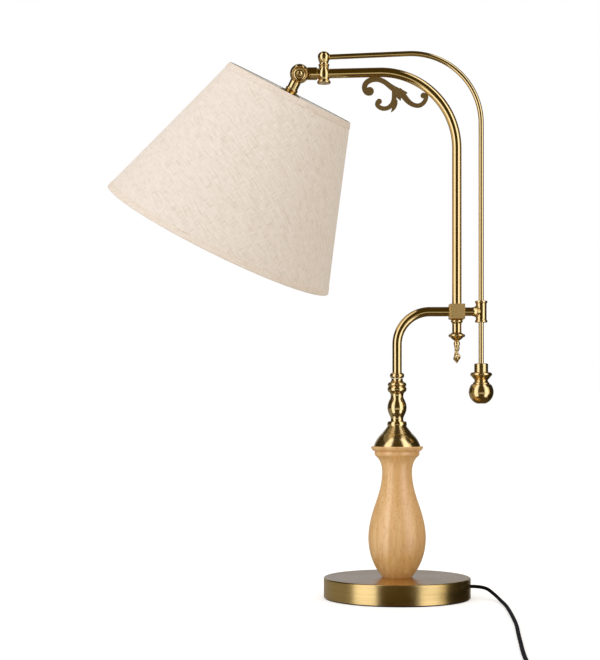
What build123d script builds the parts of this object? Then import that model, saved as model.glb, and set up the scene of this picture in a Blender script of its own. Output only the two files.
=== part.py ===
from build123d import *

import math
import os

# Swing arm table lamp. Millimetres, +Z up, +X to the right in the front view, -Y towards the
# viewer. The origin is the middle of the base's underside. A round brass base carries a turned
# wooden baluster and a brass stem. Above the stem the arm swivels: a gooseneck tube, a cross
# block, the main arm tube and a balance rod with its counterweight. The head hangs on a knuckle
# that can turn about the arm's end and tilt on its screw.

# Fits
FIT = 0.05
HOLE_CLEARANCE = 0.3
RUNNING_CLEARANCE = 0.07
BODY_GAP = 0.4

# Base
BASE_RADIUS = 85.0
BASE_SHELL_HEIGHT = 23.0
BASE_EDGE_RADIUS = 1.6
BASE_WALL = 1.5
PAD_THICKNESS = 1.5
PAD_INSET = 1.8
COVER_THICKNESS = 1.5
WEIGHT_THICKNESS = 13.0
WEIGHT_CLEARANCE = 1.0
WELL_RADIUS = 17.0
WELL_DEPTH = 7.0
CORD_EXIT_HEIGHT = 13.5
CORD_CHANNEL_MARGIN = 1.8
GROMMET_RADIUS = 3.2
GROMMET_LIP_RADIUS = 5.0
GROMMET_LIP = 1.2

# Hollow threaded rod that clamps base, wood, cap and stem
ROD_RADIUS = 5.0
ROD_BORE = 3.5
ROD_NUT_FLATS = 14.0
ROD_NUT_HEIGHT = 4.0
ROD_WASHER_RADIUS = 10.0
ROD_WASHER_THICKNESS = 1.2
ROD_STICK_OUT = 0.8
ROD_THREAD_IN_STEM = 14.0

# Wooden baluster
WOOD_HEIGHT = 151.5
WOOD_FOOT_RADIUS = 16.8
WOOD_BELLY_RADIUS = 33.3
WOOD_BELLY_RISE = 44.0
WOOD_NECK_RADIUS = 17.5
WOOD_NECK_RISE = 117.0
WOOD_COLLAR_RADIUS = 26.0
WOOD_COLLAR_HEIGHT = 5.8
WOOD_RIM_RADIUS = 30.2
WOOD_RIM_HEIGHT = 6.0

# Bell cap
CAP_RADIUS = 27.2
CAP_HEIGHT = 23.5
CAP_SHOULDER_RADIUS = 18.0
CAP_SHOULDER_RISE = 14.6
CAP_TOP_RADIUS = 10.9
CAP_WALL = 1.2

# Turned stem, lower vase and upper crown
STEM_RING_RADIUS = 11.3
STEM_RING_HEIGHT = 5.3
VASE_HEIGHT = 35.7
VASE_WAIST_RADIUS = 7.3
VASE_BELLY_RADIUS = 11.1
VASE_BELLY_RISE = 22.1
SPIGOT_RADIUS = 6.55
SPIGOT_HEIGHT = 3.8
CROWN_HEIGHT = 19.3
CROWN_BEAD_RADIUS = 11.1
CROWN_UPPER_BEAD_RADIUS = 10.9
CROWN_NECK_RADIUS = 6.7
CROWN_POCKET_HEIGHT = 12.3

# Swivel between stem and arm
SWIVEL_WASHER_THICKNESS = 0.5
SWIVEL_NUT_FLATS = 11.0
SWIVEL_NUT_HEIGHT = 4.0
SPRING_WASHER_THICKNESS = 1.2
SWIVEL_RING_RADIUS = 8.4
SWIVEL_RING_HEIGHT = 5.7
SPINDLE_BORE = 2.8
SPINDLE_OVERLAP = 10.0

# Arm tubes
TUBE_RADIUS = 5.5
TUBE_WALL = 1.0
GOOSENECK_BEND_RADIUS = 38.0
BLOCK_CENTRE_HEIGHT = 332.2
BLOCK_CENTRE_X = 69.3
BLOCK_SIDE = 17.8
BLOCK_CHAMFER = 0.7
TUBE_SEAT_DEPTH = 3.4
ARM_SEAT_DEPTH = 6.5
ARM_BEND_RADIUS = 88.2
ARM_TOP_HEIGHT = 609.9
ARM_DROOP = 1.4

# Balance rod, its guide collar and counterweight
BALANCE_ROD_RADIUS = 3.0
BALANCE_ROD_X = 97.6
BALANCE_ROD_RISE = 21.8
BALANCE_ROD_BEND_RADIUS = 81.0
BALANCE_ROD_DROOP = 2.5
COLLAR_LENGTH = 25.0
COLLAR_RADIUS = 6.3
COLLAR_RIM_RADIUS = 7.3
COLLAR_RIM_HEIGHT = 2.6
STUB_RADIUS = 5.0
COUNTERWEIGHT_TOP = 272.0
COUNTERWEIGHT_SOCKET_DEPTH = 14.0
COUNTERWEIGHT_NECK_RADIUS = 8.1
COUNTERWEIGHT_NECK_HEIGHT = 9.6
COUNTERWEIGHT_FLANGE_RADIUS = 12.7
COUNTERWEIGHT_FLANGE_HEIGHT = 9.6
COUNTERWEIGHT_WAIST_RADIUS = 7.7
COUNTERWEIGHT_BEAD_RADIUS = 9.7
COUNTERWEIGHT_BEAD_HEIGHT = 2.4
COUNTERWEIGHT_BALL_RADIUS = 14.4
COUNTERWEIGHT_BALL_SHOULDER = 11.4
COUNTERWEIGHT_BALL_DROP = 32.9
COUNTERWEIGHT_FOOT_RADIUS = 5.0

# Finial under the cross block
FINIAL_RING_RADIUS = 7.0
FINIAL_RING_HEIGHT = 4.0
FINIAL_BARREL_RADIUS = 5.4
FINIAL_BARREL_HEIGHT = 12.0
FINIAL_SKIRT_RADIUS = 9.8
FINIAL_SKIRT_HEIGHT = 9.0
FINIAL_STUD_RADIUS = 3.5
FINIAL_STUD_LENGTH = 4.0
DROP_BEAD_RADIUS = 3.6
DROP_SWELL_RADIUS = 4.2
DROP_LENGTH = 26.0
DROP_STUD_RADIUS = 1.2
DROP_STUD_LENGTH = 3.0
DROP_FLUTES = 6
DROP_FLUTE_RADIUS = 1.3

# Fitting at the arm's end
FITTING_X = -84.9
FITTING_FOOT_DROP = 11.4
FITTING_FOOT_RADIUS = 8.0
FITTING_BARREL_RADIUS = 7.2
FITTING_RING_RADIUS = 6.5
FITTING_NECK_RADIUS = 5.0
FITTING_KNOB_RADIUS = 7.2
FITTING_KNOB_RISE = 20.4
FITTING_TOP_RISE = 25.5
FITTING_BOSS_RADIUS = 6.0

# Roll joint on the arm's axis
ROLL_COLLAR_RADIUS = 7.3
ROLL_COLLAR_LENGTH = 7.8
ROLL_SPINDLE_RADIUS = 4.0
ROLL_NUT_RADIUS = 4.9
ROLL_NUT_LENGTH = 3.0
NUT_POCKET_CLEARANCE = 0.2

# Knuckle and the head's place on it
KNUCKLE_X = -113.2
KNUCKLE_RADIUS = 11.2
KNUCKLE_HALF_WIDTH = 8.5
FRICTION_DISC_THICKNESS = 0.6
KNUCKLE_SCREW_RADIUS = 2.0
KNUCKLE_SCREW_HEAD_RADIUS = 3.6
KNUCKLE_NUT_FLATS = 7.0
KNUCKLE_NUT_HEIGHT = 3.0
HEAD_TILT = 26.4
HEAD_LEAN = 12.8
HEAD_STEM_RADIUS = 6.4
HEAD_STEM_END = 18.6

# Lamp holder, distances along the head's axis from the knuckle
CUP_NECK_HEIGHT = 3.0
CUP_BEAD_RADIUS = 7.6
CUP_SHOULDER_RADIUS = 17.0
CUP_SHOULDER_DROP = 4.6
CUP_RADIUS = 20.0
CUP_WALL = 1.2
CUP_RIM_AT = 50.0
NIPPLE_RADIUS = 5.0
NIPPLE_BORE = 3.5
NIPPLE_GRIP = 6.0
CUP_NUT_FLATS = 13.0
CUP_NUT_HEIGHT = 3.0
HOLDER_RADIUS = 17.6
HOLDER_TOP_RADIUS = 12.0
HOLDER_LENGTH = 49.0
HOLDER_BORE = 14.4
HOLDER_BORE_DEPTH = 28.0
LINER_THICKNESS = 0.9
LINER_LENGTH = 24.0
CONTACT_RADIUS = 4.0
CONTACT_THICKNESS = 1.8
SHADE_RING_NUT_RADIUS = 21.5
SHADE_RING_NUT_HEIGHT = 6.5

# Bulb
BULB_CAP_RADIUS = 13.1
BULB_CAP_LENGTH = 25.5
BULB_RADIUS = 30.0
BULB_LENGTH = 102.0
BULB_GLASS_WALL = 1.2

# Shade
SHADE_TOP_RADIUS = 78.0
SHADE_BOTTOM_RADIUS = 144.5
SHADE_HEIGHT = 190.0
SHADE_TOP_AT = 24.0
SHADE_WALL = 1.0
SHADE_HEM_WIDTH = 7.5
SHADE_HEM_EXTRA = 0.4
SHADE_WIRE_RADIUS = 1.5
SHADE_WIRE_INSET = 1.7
SPIDER_RING_THICKNESS = 1.5
SPIDER_RING_RADIUS = 22.5
SPIDER_ARM_RADIUS = 1.3
SPIDER_ARMS = 3

# Scroll bracket between fitting and bend
SCROLL_THICKNESS = 2.2
SCROLL_BALL_RADIUS = 4.9
SCROLL_SMALL_BALL_RADIUS = 3.2

# Mains cord, with the part that is put away
CORD_RADIUS = 2.0
CORD_TOTAL_LENGTH = 1800.0
COIL_TURNS_PER_LAYER = 3
COIL_PITCH = 5.4
COIL_LAYER_RISE = 4.5
COIL_OUTER_RADIUS = 36.3
COIL_TAIL_LENGTH = 12.0
COIL_CENTRE_Y = -640.0
CORD_RUN_SHARE = 0.45

# In-line switch
SWITCH_LENGTH = 60.0
SWITCH_WIDTH = 24.0
SWITCH_HEIGHT = 17.0
SWITCH_SPLIT = 8.5
SWITCH_X = 78.0
SWITCH_Y = -575.0
SWITCH_CORD_HEIGHT = 4.0
SWITCH_END_RADIUS = 8.0
SWITCH_EDGE_RADIUS = 2.5
ROCKER_RADIUS = 10.0
ROCKER_WIDTH = 11.0
ROCKER_TRAVEL = 14.0
ROCKER_PIVOT_HEIGHT = 13.5
ROCKER_PIN_RADIUS = 1.0
ROCKER_PIN_LENGTH = 1.2
SWITCH_SCREW_RADIUS = 1.5

# Two-pin plug
PLUG_WIDTH = 35.0
PLUG_THICKNESS = 13.0
PLUG_BODY_LENGTH = 36.0
PLUG_NECK_WIDTH = 16.0
PLUG_RELIEF_LENGTH = 24.0
PLUG_RELIEF_RADIUS = 4.2
PLUG_PIN_RADIUS = 2.0
PLUG_PIN_LENGTH = 19.0
PLUG_PIN_SPACING = 18.6

# Route of the free cord from the base to the switch, chosen point by point
CORD_ROUTE = [
    (BASE_RADIUS, 0.0, CORD_EXIT_HEIGHT),
    (101.0, 0.0, CORD_EXIT_HEIGHT),
    (110.0, -16.0, 7.2),
    (114.6, -45.0, 2.6),
    (115.2, -84.0, 2.05),
    (112.6, -130.0, 2.05),
    (109.4, -178.0, 2.05),
    (105.0, -234.0, 2.05),
    (98.4, -290.0, 2.05),
    (92.2, -348.0, 2.05),
    (86.0, -404.0, 2.05),
    (82.0, -452.0, 2.05),
    (78.8, -494.0, 2.05),
    (SWITCH_X, -522.0, SWITCH_CORD_HEIGHT),
    (SWITCH_X, SWITCH_Y + SWITCH_LENGTH / 2, SWITCH_CORD_HEIGHT),
]

# Route of the wire inside the base, from the grommet up into the threaded rod
BASE_WIRE_ROUTE = [
    (BASE_RADIUS - BASE_WALL, 0.0, CORD_EXIT_HEIGHT),
    (60.0, 0.0, CORD_EXIT_HEIGHT + 0.4),
    (38.0, 0.0, CORD_EXIT_HEIGHT - 0.8),
    (21.0, 0.0, 7.4),
    (9.0, 0.0, 5.6),
    (0.0, 0.0, 6.0),
    (0.0, 0.0, 14.5),
]

# Places that follow from the sizes above
base_top = PAD_THICKNESS + BASE_SHELL_HEIGHT
shell_underside = base_top - BASE_WALL
shell_inner_radius = BASE_RADIUS - BASE_WALL
grommet_lip_end = math.sqrt(shell_inner_radius**2 - GROMMET_LIP_RADIUS**2) - FIT
weight_bottom = shell_underside - WEIGHT_THICKNESS
well_ceiling = weight_bottom + WELL_DEPTH
rod_washer_bottom = well_ceiling - ROD_WASHER_THICKNESS
rod_nut_bottom = rod_washer_bottom - ROD_NUT_HEIGHT
rod_bottom = rod_nut_bottom - ROD_STICK_OUT
wood_top = base_top + WOOD_HEIGHT
cap_top = wood_top + CAP_HEIGHT
vase_top = cap_top + VASE_HEIGHT
crown_top = vase_top + CROWN_HEIGHT
crown_pocket_top = vase_top + CROWN_POCKET_HEIGHT
rod_top = cap_top + ROD_THREAD_IN_STEM
tube_bore = TUBE_RADIUS - TUBE_WALL
spindle_radius = tube_bore - FIT
swivel_ring_bottom = crown_top + SWIVEL_WASHER_THICKNESS + HOLE_CLEARANCE
tube_bottom = swivel_ring_bottom + HOLE_CLEARANCE
block_left = BLOCK_CENTRE_X - BLOCK_SIDE / 2
block_right = BLOCK_CENTRE_X + BLOCK_SIDE / 2
block_top = BLOCK_CENTRE_HEIGHT + BLOCK_SIDE / 2
block_bottom = BLOCK_CENTRE_HEIGHT - BLOCK_SIDE / 2
arm_slope = math.radians(ARM_DROOP)
arm_bend_end_x = BLOCK_CENTRE_X - ARM_BEND_RADIUS * (1 + math.sin(arm_slope))
arm_bend_end_height = ARM_TOP_HEIGHT - ARM_BEND_RADIUS * (1 - math.cos(arm_slope))
roll_axis_height = arm_bend_end_height - (arm_bend_end_x - FITTING_X) * math.tan(arm_slope)
balance_rod_top = ARM_TOP_HEIGHT + BALANCE_ROD_RISE
roll_pocket_left = FITTING_X - 1
roll_nut_left = roll_pocket_left + HOLE_CLEARANCE
fitting_wall_right = roll_nut_left + ROLL_NUT_LENGTH + NUT_POCKET_CLEARANCE
collar_left = KNUCKLE_X + KNUCKLE_RADIUS + BODY_GAP + 1.1
collar_right = collar_left + ROLL_COLLAR_LENGTH
tilt_cone = math.atan((SHADE_BOTTOM_RADIUS - SHADE_TOP_RADIUS) / SHADE_HEIGHT)
cup_inside = HEAD_STEM_END + CUP_NECK_HEIGHT + 1.4
holder_top = cup_inside + CUP_NUT_HEIGHT + 1.4
holder_bottom = holder_top + HOLDER_LENGTH
bulb_tip = holder_bottom - HOLDER_BORE_DEPTH + CONTACT_THICKNESS + HOLE_CLEARANCE
bulb_cap_end = bulb_tip + BULB_CAP_LENGTH
switch_end_y = SWITCH_Y - SWITCH_LENGTH / 2
coil_centre_x = SWITCH_X - COIL_OUTER_RADIUS

knuckle_place = Pos(KNUCKLE_X, 0, roll_axis_height) * Rot(X=HEAD_LEAN)
head_place = knuckle_place * Rot(Y=HEAD_TILT)


def turned(start, *steps):
    """Solid turned about Z. A step is a list of (radius, height) points from the last one on.

    One point is a straight line, two are an arc through the first, more are a smooth curve.
    """
    edges = []
    here = start
    for step in steps:
        if len(step) == 1:
            edges.append(Line(here, step[0]))
        elif len(step) == 2:
            edges.append(ThreePointArc(here, step[0], step[1]))
        else:
            edges.append(Spline(here, *step))
        here = step[-1]
    edges.append(Line(here, start))
    return revolve(Plane.XZ * make_face(edges), Axis.Z)


def bar(radius, low, high, bore=0.0):
    """Round bar along Z between two heights, hollow where it has a bore."""
    solid = Pos(0, 0, low) * Cylinder(radius, high - low, align=(Align.CENTER, Align.CENTER, Align.MIN))
    if bore > 0:
        solid -= Pos(0, 0, low) * Cylinder(bore, high - low, align=(Align.CENTER, Align.CENTER, Align.MIN))
    return solid


def hexagon_nut(flats, low, high, bore):
    """Hexagon nut along Z between two heights."""
    outline = RegularPolygon(flats / 2, 6, major_radius=False)
    return Pos(0, 0, low) * extrude(outline - Circle(bore), high - low)


def swept(path, radius, bore=0.0):
    """Round wire or tube along a path."""
    section = Circle(radius)
    if bore > 0:
        section -= Circle(bore)
    return sweep(Plane(origin=path @ 0, z_dir=path % 0) * section, path)


def route_radii(points):
    """The largest arc that each inner point of a cord's route leaves room for."""
    radii = []
    for before, point, after in zip(points, points[1:], points[2:]):
        first = Vector(point) - Vector(before)
        second = Vector(after) - Vector(point)
        half_turn = math.radians(first.get_angle(second)) / 2
        radii.append(CORD_RUN_SHARE * min(first.length, second.length) / math.tan(half_turn))
    return radii


def route_path(points):
    """Straight runs joined by tangent arcs along a cord's route."""
    return FilletPolyline(*points, radius=route_radii(points))


# Base

def base_pad():
    return bar(BASE_RADIUS - PAD_INSET, 0, PAD_THICKNESS)


def base_cover():
    return bar(shell_inner_radius - FIT, PAD_THICKNESS, PAD_THICKNESS + COVER_THICKNESS)


def base_shell():
    edge = BASE_EDGE_RADIUS * (1 - math.sqrt(0.5))
    hole = ROD_RADIUS + HOLE_CLEARANCE
    shell = turned(
        (hole, base_top),
        [(BASE_RADIUS - BASE_EDGE_RADIUS, base_top)],
        [(BASE_RADIUS - edge, base_top - edge), (BASE_RADIUS, base_top - BASE_EDGE_RADIUS)],
        [(BASE_RADIUS, PAD_THICKNESS)],
        [(shell_inner_radius, PAD_THICKNESS)],
        [(shell_inner_radius, shell_underside)],
        [(hole, shell_underside)],
    )
    cord_hole = Pos(BASE_RADIUS, 0, CORD_EXIT_HEIGHT) * Rot(Y=90) * Cylinder(GROMMET_RADIUS + FIT, 8)
    return shell - cord_hole


def base_weight():
    outer = shell_inner_radius - WEIGHT_CLEARANCE
    weight = bar(outer, weight_bottom, shell_underside, ROD_RADIUS + HOLE_CLEARANCE)
    weight -= bar(WELL_RADIUS, weight_bottom, well_ceiling)
    lip_start = grommet_lip_end - GROMMET_LIP - HOLE_CLEARANCE
    lip_space = bar(GROMMET_LIP_RADIUS + HOLE_CLEARANCE, lip_start, BASE_RADIUS)
    weight -= Pos(0, 0, CORD_EXIT_HEIGHT) * Rot(Y=90) * lip_space
    channel_top = CORD_EXIT_HEIGHT + CORD_RADIUS + CORD_CHANNEL_MARGIN
    channel_width = 2 * (CORD_RADIUS + CORD_CHANNEL_MARGIN)
    channel = Box(
        outer,
        channel_width,
        channel_top - weight_bottom,
        align=(Align.MIN, Align.CENTER, Align.MIN),
    )
    return weight - Pos(WELL_RADIUS / 2, 0, weight_bottom) * channel


def cord_grommet():
    bore = CORD_RADIUS + FIT
    lip_start = grommet_lip_end - GROMMET_LIP
    sleeve = bar(GROMMET_RADIUS, lip_start, BASE_RADIUS, bore)
    lip = bar(GROMMET_LIP_RADIUS, lip_start, grommet_lip_end, bore)
    return Pos(0, 0, CORD_EXIT_HEIGHT) * Rot(Y=90) * (sleeve + lip)


def base_wire():
    return swept(route_path(BASE_WIRE_ROUTE), CORD_RADIUS)


def threaded_rod():
    return bar(ROD_RADIUS, rod_bottom, rod_top, ROD_BORE)


def rod_washer():
    return bar(ROD_WASHER_RADIUS, rod_washer_bottom, well_ceiling, ROD_RADIUS + HOLE_CLEARANCE)


def rod_nut():
    return hexagon_nut(ROD_NUT_FLATS, rod_nut_bottom, rod_washer_bottom, ROD_RADIUS + FIT)


# Wooden baluster

def wood_body():
    rim_bottom = wood_top - WOOD_RIM_HEIGHT
    collar_bottom = rim_bottom - WOOD_COLLAR_HEIGHT
    belly = base_top + WOOD_BELLY_RISE
    neck = base_top + WOOD_NECK_RISE
    hollow = WOOD_BELLY_RADIUS - WOOD_NECK_RADIUS
    body = turned(
        (0, base_top),
        [(WOOD_FOOT_RADIUS, base_top)],
        [
            (WOOD_BELLY_RADIUS - 0.32 * hollow, base_top + 0.42 * WOOD_BELLY_RISE),
            (WOOD_BELLY_RADIUS, belly),
            (WOOD_NECK_RADIUS + 0.64 * hollow, belly + 0.46 * (neck - belly)),
            (WOOD_NECK_RADIUS + 0.22 * hollow, belly + 0.74 * (neck - belly)),
            (WOOD_NECK_RADIUS, neck),
            (WOOD_NECK_RADIUS + 0.25 * (WOOD_COLLAR_RADIUS - WOOD_NECK_RADIUS), collar_bottom - 6),
            (WOOD_COLLAR_RADIUS - 0.8, collar_bottom + 1),
        ],
        [
            (WOOD_COLLAR_RADIUS, collar_bottom + WOOD_COLLAR_HEIGHT / 2),
            (WOOD_COLLAR_RADIUS - 0.3, rim_bottom),
        ],
        [(WOOD_RIM_RADIUS - 1.2, rim_bottom + 2.4), (WOOD_RIM_RADIUS, wood_top - 1.2)],
        [(WOOD_RIM_RADIUS - 0.6, wood_top)],
        [(0, wood_top)],
    )
    return body - bar(ROD_RADIUS + HOLE_CLEARANCE, base_top, wood_top)


def bell_cap():
    hole = ROD_RADIUS + HOLE_CLEARANCE
    shoulder = wood_top + CAP_SHOULDER_RISE
    dome = (CAP_RADIUS - 1.9, wood_top + 0.35 * CAP_SHOULDER_RISE)
    outer = turned(
        (0, wood_top),
        [(CAP_RADIUS, wood_top)],
        [dome, (CAP_SHOULDER_RADIUS, shoulder)],
        [(CAP_SHOULDER_RADIUS - 3.6, shoulder + 0.5 * (cap_top - shoulder)), (CAP_TOP_RADIUS, cap_top)],
        [(0, cap_top)],
    )
    hollow = turned(
        (0, wood_top),
        [(CAP_RADIUS - CAP_WALL, wood_top)],
        [(dome[0] - CAP_WALL, dome[1]), (CAP_SHOULDER_RADIUS - CAP_WALL, shoulder - CAP_WALL)],
        [(CAP_TOP_RADIUS - CAP_WALL, cap_top - CAP_WALL)],
        [(0, cap_top - CAP_WALL)],
    )
    return outer - hollow - bar(hole, wood_top, cap_top)


# Turned stem

def stem_vase():
    ring_top = cap_top + STEM_RING_HEIGHT
    belly = cap_top + VASE_BELLY_RISE
    swell = VASE_BELLY_RADIUS - VASE_WAIST_RADIUS
    vase = turned(
        (0, cap_top),
        [(CAP_TOP_RADIUS, cap_top)],
        [(STEM_RING_RADIUS, cap_top + STEM_RING_HEIGHT / 2), (CAP_TOP_RADIUS - 0.4, ring_top)],
        [(VASE_WAIST_RADIUS + 0.4, ring_top + 0.6)],
        [
            (VASE_WAIST_RADIUS, ring_top + 3.4),
            (VASE_WAIST_RADIUS + 0.62 * swell, belly - 7.4),
            (VASE_BELLY_RADIUS, belly),
            (VASE_WAIST_RADIUS + 0.5 * swell, belly + 7.4),
            (VASE_WAIST_RADIUS, vase_top - 0.9),
            (VASE_WAIST_RADIUS + 0.1, vase_top),
        ],
        [(0, vase_top)],
    )
    vase += bar(SPIGOT_RADIUS, vase_top, vase_top + SPIGOT_HEIGHT)
    vase -= bar(ROD_RADIUS + FIT, cap_top, rod_top)
    return vase - bar(ROD_BORE, rod_top, vase_top + SPIGOT_HEIGHT)


def stem_crown():
    bead_low = vase_top + 4.3
    bead_high = crown_top - 9.0
    crown = turned(
        (0, vase_top),
        [(VASE_WAIST_RADIUS + 0.1, vase_top)],
        [(VASE_WAIST_RADIUS + 0.8, vase_top + 2.4), (CROWN_BEAD_RADIUS - 0.9, bead_low)],
        [(CROWN_BEAD_RADIUS, bead_low + 2.6), (CROWN_BEAD_RADIUS - 0.9, bead_high - 0.5)],
        [(CROWN_UPPER_BEAD_RADIUS - 1.1, bead_high)],
        [(CROWN_UPPER_BEAD_RADIUS, bead_high + 2.2), (CROWN_UPPER_BEAD_RADIUS - 1.3, bead_high + 4.5)],
        [(CROWN_NECK_RADIUS + 0.5, bead_high + 6.2), (CROWN_NECK_RADIUS, crown_top)],
        [(0, crown_top)],
    )
    crown -= bar(SPIGOT_RADIUS + FIT, vase_top, crown_pocket_top)
    return crown - bar(spindle_radius + RUNNING_CLEARANCE, crown_pocket_top, crown_top)


def swivel_washer():
    washer_top = crown_top + SWIVEL_WASHER_THICKNESS
    return bar(CROWN_NECK_RADIUS - 0.2, crown_top, washer_top, spindle_radius + HOLE_CLEARANCE)


def swivel_spindle():
    bottom = crown_pocket_top - HOLE_CLEARANCE - SPRING_WASHER_THICKNESS - SWIVEL_NUT_HEIGHT
    return bar(spindle_radius, bottom, tube_bottom + SPINDLE_OVERLAP, SPINDLE_BORE)


def swivel_spring_washer():
    top = crown_pocket_top - HOLE_CLEARANCE
    return bar(SPIGOT_RADIUS - HOLE_CLEARANCE, top - SPRING_WASHER_THICKNESS, top, spindle_radius + FIT)


def swivel_nut():
    top = crown_pocket_top - HOLE_CLEARANCE - SPRING_WASHER_THICKNESS
    return hexagon_nut(SWIVEL_NUT_FLATS, top - SWIVEL_NUT_HEIGHT, top, spindle_radius + FIT)


def swivel_ring():
    top = swivel_ring_bottom + SWIVEL_RING_HEIGHT
    middle = swivel_ring_bottom + SWIVEL_RING_HEIGHT / 2
    ring = turned(
        (TUBE_RADIUS + FIT, swivel_ring_bottom + 1),
        [(spindle_radius + FIT, swivel_ring_bottom)],
        [(SWIVEL_RING_RADIUS - 1.2, swivel_ring_bottom)],
        [(SWIVEL_RING_RADIUS, middle), (SWIVEL_RING_RADIUS - 1.4, top)],
        [(TUBE_RADIUS + FIT, top)],
    )
    return ring


# Arm

def gooseneck_path():
    return FilletPolyline(
        (0, 0, tube_bottom + 1),
        (0, 0, BLOCK_CENTRE_HEIGHT),
        (block_left + TUBE_SEAT_DEPTH, 0, BLOCK_CENTRE_HEIGHT),
        radius=GOOSENECK_BEND_RADIUS,
    )


def drooping_path(x, bottom, height, bend_radius, droop):
    """Upright from the bottom, a bend towards -X, and a run that falls by the droop to the fitting."""
    slope = math.radians(droop)
    turn = math.pi / 2 + slope
    centre_x = x - bend_radius
    centre_z = height - bend_radius
    bend_end_x = centre_x + bend_radius * math.cos(turn)
    bend_end_z = centre_z + bend_radius * math.sin(turn)
    run_end_z = bend_end_z - (bend_end_x - FITTING_X) * math.tan(slope)
    middle = (
        centre_x + bend_radius * math.cos(turn / 2),
        0,
        centre_z + bend_radius * math.sin(turn / 2),
    )
    upright = Line((x, 0, bottom), (x, 0, centre_z))
    bend = ThreePointArc((x, 0, centre_z), middle, (bend_end_x, 0, bend_end_z))
    run = Line((bend_end_x, 0, bend_end_z), (FITTING_X, 0, run_end_z))
    return Wire([upright, bend, run])


def arm_tube_path():
    bottom = block_top - ARM_SEAT_DEPTH
    return drooping_path(BLOCK_CENTRE_X, bottom, ARM_TOP_HEIGHT, ARM_BEND_RADIUS, ARM_DROOP)


def balance_rod_path():
    bottom = COUNTERWEIGHT_TOP - COUNTERWEIGHT_SOCKET_DEPTH
    return drooping_path(
        BALANCE_ROD_X, bottom, balance_rod_top, BALANCE_ROD_BEND_RADIUS, BALANCE_ROD_DROOP
    )


def gooseneck_tube():
    return swept(gooseneck_path(), TUBE_RADIUS, tube_bore)


def main_arm_tube():
    tube = swept(arm_tube_path(), TUBE_RADIUS, tube_bore)
    return tube - Pos(fitting_wall_right, 0, roll_axis_height) * left_half_space()


def left_half_space():
    """A block on the -X side of the origin, wider than any tube here."""
    reach = 4 * FITTING_FOOT_RADIUS
    return Box(reach, reach, reach, align=(Align.MAX, Align.CENTER, Align.CENTER))


def balance_rod():
    rod = swept(balance_rod_path(), BALANCE_ROD_RADIUS)
    return rod - Pos(FITTING_X, 0, balance_rod_top) * left_half_space()


def cross_block():
    block = Box(BLOCK_SIDE, BLOCK_SIDE, BLOCK_SIDE)
    block = chamfer(block.edges(), BLOCK_CHAMFER)
    half = BLOCK_SIDE / 2
    seat = TUBE_RADIUS + FIT
    block -= Rot(Y=-90) * bar(seat, half - TUBE_SEAT_DEPTH - FIT, half)
    block -= Rot(Y=90) * bar(STUB_RADIUS + FIT, half - TUBE_SEAT_DEPTH - FIT, half)
    block -= bar(seat, half - ARM_SEAT_DEPTH - FIT, half)
    block -= bar(FINIAL_STUD_RADIUS + FIT, -half, FINIAL_STUD_LENGTH + FIT - half)
    block -= Rot(Y=90) * bar(tube_bore, -half, 0)
    block -= bar(tube_bore, 0, half)
    return Pos(BLOCK_CENTRE_X, 0, BLOCK_CENTRE_HEIGHT) * block


def guide_collar():
    half = COLLAR_LENGTH / 2
    rim = COLLAR_RIM_HEIGHT
    body = turned(
        (0, -half),
        [(COLLAR_RIM_RADIUS - 0.4, -half)],
        [(COLLAR_RIM_RADIUS, rim / 2 - half), (COLLAR_RIM_RADIUS - 0.4, rim - half)],
        [(COLLAR_RADIUS, rim + 0.4 - half)],
        [(COLLAR_RADIUS, half - rim - 0.4)],
        [(COLLAR_RIM_RADIUS - 0.4, half - rim)],
        [(COLLAR_RIM_RADIUS, half - rim / 2), (COLLAR_RIM_RADIUS - 0.4, half)],
        [(0, half)],
    )
    body = Pos(BALANCE_ROD_X, 0, BLOCK_CENTRE_HEIGHT) * body
    stub_start = block_right - TUBE_SEAT_DEPTH
    stub_length = BALANCE_ROD_X - stub_start
    flare_start = BALANCE_ROD_X - COLLAR_RADIUS - 4.5 - stub_start
    stub = turned(
        (0, 0),
        [(STUB_RADIUS, 0)],
        [(STUB_RADIUS, flare_start)],
        [(STUB_RADIUS + 1.0, flare_start + 3.4), (COLLAR_RADIUS + 1.6, stub_length - COLLAR_RADIUS + 1.5)],
        [(COLLAR_RADIUS - 1, stub_length)],
        [(0, stub_length)],
    )
    body += Pos(stub_start, 0, BLOCK_CENTRE_HEIGHT) * Rot(Y=90) * stub
    bore = bar(BALANCE_ROD_RADIUS + RUNNING_CLEARANCE, -half, half)
    return body - Pos(BALANCE_ROD_X, 0, BLOCK_CENTRE_HEIGHT) * bore


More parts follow.
